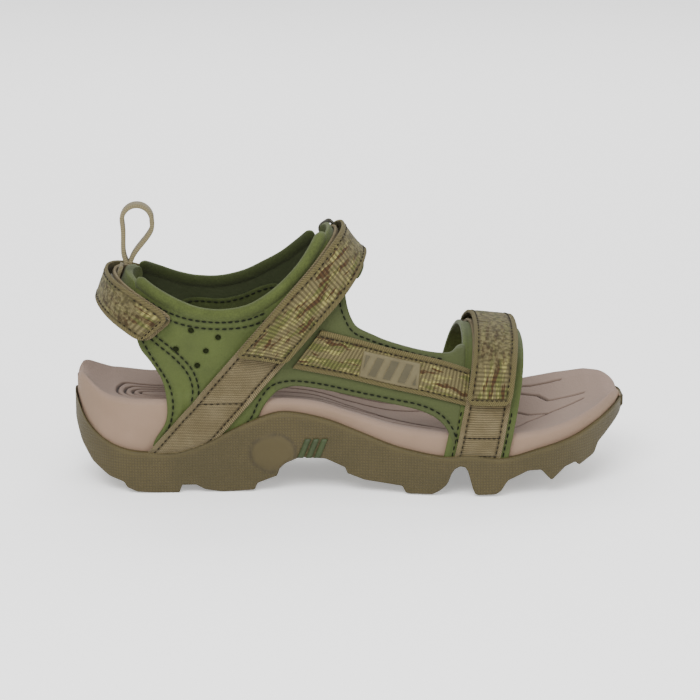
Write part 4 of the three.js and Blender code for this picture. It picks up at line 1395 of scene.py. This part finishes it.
for name, closure in CLOSURES.items():
    surface = SURFACE[name]
    points, faces = ring_frame(surface, closure)
    ring = make_object(f"{name}_slide_ring", points, faces, PLASTIC)
    finish_piece(ring, "root", [f"{name}_ring"])
    far = closure["bar"] - RING["bar"] / 2 + RING["length"]
    keeper = cloth_band(f"{name}_keeper_webbing", surface, far - 1.4, far + 11, closure["width"] - 1,
                        LAYER["flap"], WEBBING, corner_end=1.0)
    finish_piece(keeper, "root", [f"{name}_ring_keeper"])
    strap = cloth_band(f"{name}_closure_strap", surface, closure["end"], closure["bar"] + 0.2,
                       closure["width"], LAYER["flap"], CAMO, corner_start=closure["corner"],
                       pitch=CAMO_RIB, velvet_from=VELVET[name])
    crease = closure["hinge"]
    lift = LAYER["flap"][1]
    starts, _ = surface.at(crease + 1.4, 0, lift)
    ends, _ = surface.at(crease - 1.4, 0, lift)
    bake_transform(strap)
    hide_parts(f"{name}_flap", f"{name}_tab")
    turn = fold(f"{name}_ring_fold", surface, closure)
    starts, _ = surface.at(closure["bar"], 0, 2.9)
    ends, _ = surface.at(closure["bar"], 0, 6.9)
    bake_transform(turn)

# ---------------------------------------------------------------- pull loop

LOOP = {"width": 7, "thickness": 1.9, "reach": 14.8, "foot": (-96, 95), "top": (-92, 121.8)}


def pull_loop():
    """A ribbon bent into a teardrop, its two ends sewn together at the foot."""
    fx, fz = LOOP["foot"]
    tx, tz = LOOP["top"]
    half = (LOOP["reach"] - LOOP["thickness"]) / 2
    centre_z = tz - LOOP["reach"] / 2
    path = [(fx - 0.75, fz + 0.4), (fx - 2.0, fz + 5), (tx - half * 0.93, centre_z - 5)]
    arch = np.linspace(0.05, math.pi - 0.05, 12)
    path += [(tx - half * math.cos(a), centre_z + half * math.sin(a)) for a in arch]
    path += [(tx + half * 0.93, centre_z - 5), (fx + 3.0, fz + 5), (fx + 0.75, fz + 0.4)]
    line = smooth_line(path, 0.4)
    tangent = np.gradient(line, axis=0)
    tangent /= np.linalg.norm(tangent, axis=1, keepdims=True)
    normal = np.stack([-tangent[:, 1], tangent[:, 0]], axis=1)
    section = band_section(LOOP["width"], -LOOP["thickness"] / 2, LOOP["thickness"] / 2, 12)
    vertices, uv = [], []
    for i, (p, n) in enumerate(zip(line, normal)):
        rib = 0.05 * math.cos(i * 0.4 * 2 * math.pi / 0.95)
        for v, h, share in section:
            q = p + n * (h + rib * share)
            vertices.append((q[0], v, q[1]))
            uv.append((i * 0.4, v))
    obj = make_object("pull_loop_ribbon", vertices, tube_faces(len(line), len(section)), RIBBON, uv)
    return finish_piece(obj, "pull_loop", ["pull_loop"])


pull_loop()
loop_foot = cloth_band("pull_loop_foot", heel, -3.5, 3.5, 13, (0.1, 1.7), RIBBON, 5.2, ribs=0.05)
finish_piece(loop_foot, "root", ["pull_loop_tongue"])

# ---------------------------------------------------------------- stitches


def form_stitches(side, row, lift, panel=None, outward=1):
    """Stitches along a line in the x-z plane, on one side of the foot form and 0.5 higher on a panel."""
    line = resample(row, 2.9)
    at = (line[:-1] + line[1:]) / 2
    ahead = at + (line[1:] - line[:-1]) / 4
    if panel is not None:
        lift = lift + 0.5 * inside(at, panel)
    place, normal = side_point(side, at[:, 0], at[:, 1], lift)
    further, _ = side_point(side, ahead[:, 0], ahead[:, 1], lift)
    return place, further - place, outward * normal


def strap_stitches(surface, mm, v, lift, along):
    """Stitches at places on a strap, lying along it or across it."""
    place, normal = surface.at(mm, v, lift)
    further, _ = surface.at(mm + 0.5 * along, v + 0.5 * (not along), lift)
    return place, further - place, normal


def band_stitches(surface, start, end, width, lift, pitch=2.3, inset=2.3):
    """A row of stitches inside each border of a band."""
    mm = np.arange(min(start, end) + pitch, max(start, end) - pitch / 2, pitch)
    return [strap_stitches(surface, mm, side * (width / 2 - inset), lift, True) for side in (-1, 1)]


def cross_stitches(surface, places, width, lift):
    """A row of stitches across a band at each of the given places along it."""
    v = np.arange(-width / 2 + 2.4, width / 2 - 2.2, 2.0)
    return [strap_stitches(surface, mm, v, lift, False) for mm in places]


def stitch_tree():
    """Lays one rounded stitch on every point, along its way and facing out."""
    tree = bpy.data.node_groups.new("Stitch Row", "GeometryNodeTree")
    face = tree.interface
    face.new_socket("Geometry", in_out="INPUT", socket_type="NodeSocketGeometry")
    for label, value in (("Stitch Length", 0.002), ("Stitch Thickness", 0.0005)):
        socket = face.new_socket(label, in_out="INPUT", socket_type="NodeSocketFloat")
        socket.default_value = value
        socket.min_value = 0
    face.new_socket("Thread", in_out="INPUT", socket_type="NodeSocketMaterial")
    face.new_socket("Geometry", in_out="OUTPUT", socket_type="NodeSocketGeometry")
    nodes, links = tree.nodes, tree.links
    group_in = nodes.new("NodeGroupInput")
    group_out = nodes.new("NodeGroupOutput")
    ball = nodes.new("GeometryNodeMeshUVSphere")
    ball.inputs["Segments"].default_value = 8
    ball.inputs["Rings"].default_value = 6
    ball.inputs["Radius"].default_value = 0.5
    size = nodes.new("ShaderNodeCombineXYZ")
    links.new(group_in.outputs["Stitch Length"], size.inputs["X"])
    links.new(group_in.outputs["Stitch Thickness"], size.inputs["Y"])
    links.new(group_in.outputs["Stitch Thickness"], size.inputs["Z"])
    turn = nodes.new("FunctionNodeAxesToRotation")
    turn.primary_axis = "Z"
    turn.secondary_axis = "X"
    for label, socket in (("out", "Primary Axis"), ("way", "Secondary Axis")):
        named = nodes.new("GeometryNodeInputNamedAttribute")
        named.data_type = "FLOAT_VECTOR"
        named.inputs["Name"].default_value = label
        links.new(named.outputs["Attribute"], turn.inputs[socket])
    lay = nodes.new("GeometryNodeInstanceOnPoints")
    links.new(group_in.outputs["Geometry"], lay.inputs["Points"])
    links.new(ball.outputs["Mesh"], lay.inputs["Instance"])
    links.new(turn.outputs["Rotation"], lay.inputs["Rotation"])
    links.new(size.outputs["Vector"], lay.inputs["Scale"])
    real = nodes.new("GeometryNodeRealizeInstances")
    links.new(lay.outputs["Instances"], real.inputs["Geometry"])
    smooth_shade = nodes.new("GeometryNodeSetShadeSmooth")
    links.new(real.outputs["Geometry"], smooth_shade.inputs["Geometry"])
    paint = nodes.new("GeometryNodeSetMaterial")
    links.new(smooth_shade.outputs["Geometry"], paint.inputs["Geometry"])
    links.new(group_in.outputs["Thread"], paint.inputs["Material"])
    links.new(paint.outputs["Geometry"], group_out.inputs["Geometry"])
    return tree


STITCH_TREE = stitch_tree()


def sew(name, rows, length, thickness, thread):
    """A plain mesh of stitches from rows of (places, ways, outs)."""
    places, ways, outs = (np.concatenate(column) for column in zip(*rows))
    mesh = bpy.data.meshes.new(name + "_places")
    mesh.from_pydata((places * MM).tolist(), [], [])
    for label, values in (("way", ways), ("out", outs)):
        unit = values / np.linalg.norm(values, axis=1, keepdims=True)
        attribute = mesh.attributes.new(label, "FLOAT_VECTOR", "POINT")
        attribute.data.foreach_set("vector", unit.astype(np.float32).ravel())
    host = bpy.data.objects.new(name + "_host", mesh)
    bpy.context.scene.collection.objects.link(host)
    modifier = host.modifiers.new("Stitches", "NODES")
    modifier.node_group = STITCH_TREE
    sockets = {s.name: s.identifier for s in STITCH_TREE.interface.items_tree if s.in_out == "INPUT"}
    modifier[sockets["Stitch Length"]] = length * MM
    modifier[sockets["Stitch Thickness"]] = thickness * MM
    modifier[sockets["Thread"]] = thread
    bpy.context.view_layer.update()
    graph = bpy.context.evaluated_depsgraph_get()
    made = bpy.data.meshes.new_from_object(host.evaluated_get(graph))
    made.name = name
    bpy.data.objects.remove(host)
    obj = bpy.data.objects.new(name, made)
    bpy.context.scene.collection.objects.link(obj)
    return obj


SHELL_STITCH = (2.2, 0.72, THREAD)
WEBBING_STITCH = (1.5, 0.55, KHAKI_THREAD)
for side, name in ((LATERAL, "lateral"), (MEDIAL, "medial")):
    panel = closed_outline([FRONT_PANEL]) if side == LATERAL else None
    rows = [form_stitches(side, row, LAYER["shell"][1], panel) for row in shell_rows(side)]
    finish_piece(sew(f"{name}_shell_stitches", rows, *SHELL_STITCH), "root")
patch_row = form_stitches(MEDIAL, offset_line(rounded_pill(INNER_PATCH), -1.6), -1.3, outward=-1)
finish_piece(sew("inner_patch_stitches", [patch_row], *SHELL_STITCH), "root")

web_lift = LAYER["webbing"][1] - 0.05
base_rows = []
for name, closure in CLOSURES.items():
    base_rows += band_stitches(SURFACE[name], closure["lower"], closure["bar"], closure["width"], web_lift)
for name, start, end in (("ankle", 19, 126), ("toe", 38, 73)):
    base_rows += band_stitches(SURFACE[name], start, end, CLOSURES[name]["width"], web_lift)
for name in ("ankle", "toe"):
    base_rows += cross_stitches(SURFACE[name], CROSS_SEAMS[name], CLOSURES[name]["width"], web_lift)
for surface in INSTEP.values():
    base_rows += band_stitches(surface, 0, surface.length, surface.width, web_lift)
finish_piece(sew("base_webbing_stitches", base_rows, *WEBBING_STITCH), "root")
pad_rows = [row for side in (-1, 1) for row in band_stitches(toe, side * 50, side * 73, 26.0, 2.0, 2.9, 2.4)]
finish_piece(sew("toe_pad_stitches", pad_rows, *SHELL_STITCH), "root")

flap_lift = LAYER["flap"][1] - 0.05
for name, closure in CLOSURES.items():
    surface, crease, end, width = SURFACE[name], closure["hinge"], closure["end"], closure["width"]
    flap = band_stitches(surface, crease + 1.5, closure["bar"], width, flap_lift)
    tab = band_stitches(surface, end + 2.2, crease - 1.5, width, flap_lift)
    tab += cross_stitches(surface, (end + 1.8,), width, flap_lift)
    for part, rows in (("flap", flap), ("tab", tab)):
        obj = sew(f"{name}_{part}_stitches", rows, *WEBBING_STITCH)
        finish_piece(obj, f"{name}_{part}")

# ---------------------------------------------------------------- pieces kept from the frame


def repaint(node, material):
    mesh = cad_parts[node].data
    mesh.materials.clear()
    mesh.materials.append(material)


repaint("shank", NYLON)
repaint("heel_shock_pad", CUSHION)
for name in CLOSURES:
    repaint(f"{name}_loop_patch", PILE)
    repaint(f"{name}_hook_patch", HOOKS)
# Nodes that a piece stands for aren't shown; they carry that piece's finish.
hidden = {
    "outsole": RUBBER, "midsole": FOAM, "footbed": FOAM, "sole_emblem": INLAY, "lateral_quarter": SHELL,
    "medial_quarter": SHELL, "collar_roll_lateral": PADDING, "collar_roll_medial": PADDING, "toe_pad": SHELL,
    "instep_pad": PADDING, "heel_pad": PADDING, "instep_strap_lateral": CAMO, "instep_strap_medial": CAMO,
    "instep_badge": BADGE, "pull_loop": RIBBON, "pull_loop_tongue": RIBBON,
}
for node, material in hidden.items():
    repaint(node, material)
for name in CLOSURES:
    for node, material in (("strap_lateral", WEBBING), ("strap_medial", WEBBING), ("ring", PLASTIC),
                           ("ring_keeper", WEBBING), ("flap", CAMO), ("tab", CAMO)):
        repaint(f"{name}_{node}", material)

# ---------------------------------------------------------------- floor, light and camera


def floor_paint():
    p = Paint("pale_floor")
    grain = p.noise(4.0, 3.0)
    return p.done(p.shade(rgb(250, 250, 250), 0.995 + 0.01 * grain), 0.9, specular=0.1, glow=0.35)


def floor():
    size = 6000
    mesh_points = [(x, y, 0) for x in (-size, size) for y in (-size, size)]
    obj = make_object("floor", mesh_points, [(0, 2, 3, 1)], floor_paint(), smooth=False)
    if obj.data.polygons[0].normal.z < 0:
        obj.data.flip_normals()


floor()


def area_light(name, place, target, size, power):
    light = bpy.data.lights.new(name, "AREA")
    light.shape = "RECTANGLE"
    light.size, light.size_y = size
    light.energy = power
    obj = bpy.data.objects.new(name, light)
    obj.location = place
    obj.rotation_euler = (Vector(target) - Vector(place)).to_track_quat("-Z", "Y").to_euler()
    bpy.context.scene.collection.objects.link(obj)


area_light("key_light", (-0.35, -1.0, 1.25), (0, 0, 0.05), (1.1, 0.8), 27)
area_light("fill_light", (0.9, -0.9, 0.6), (0, 0, 0.05), (1.0, 1.0), 7)
area_light("back_light", (0.1, 1.1, 1.0), (0, 0, 0.05), (1.6, 0.8), 13)
world = bpy.data.worlds.new("studio")
world.use_nodes = True
world.node_tree.nodes["Background"].inputs["Color"].default_value = (1, 1, 1, 1)
world.node_tree.nodes["Background"].inputs["Strength"].default_value = 1.0
bpy.context.scene.world = world

camera_data = bpy.data.cameras.new("camera")
camera_data.type = "PERSP"
camera_data.lens = 150
camera_data.sensor_width = 36
camera = bpy.data.objects.new("camera", camera_data)
target = Vector((0.0007, 0, 0.0545))
turn = math.radians(2.5)
elevation = math.radians(15)
distance = 0.3087 * camera_data.lens / camera_data.sensor_width
level = math.cos(elevation)
out = Vector((-math.sin(turn) * level, -math.cos(turn) * level, math.sin(elevation)))
camera.location = target + distance * out
camera.rotation_euler = (target - camera.location).to_track_quat("-Z", "Y").to_euler()
bpy.context.scene.collection.objects.link(camera)
bpy.context.scene.camera = camera
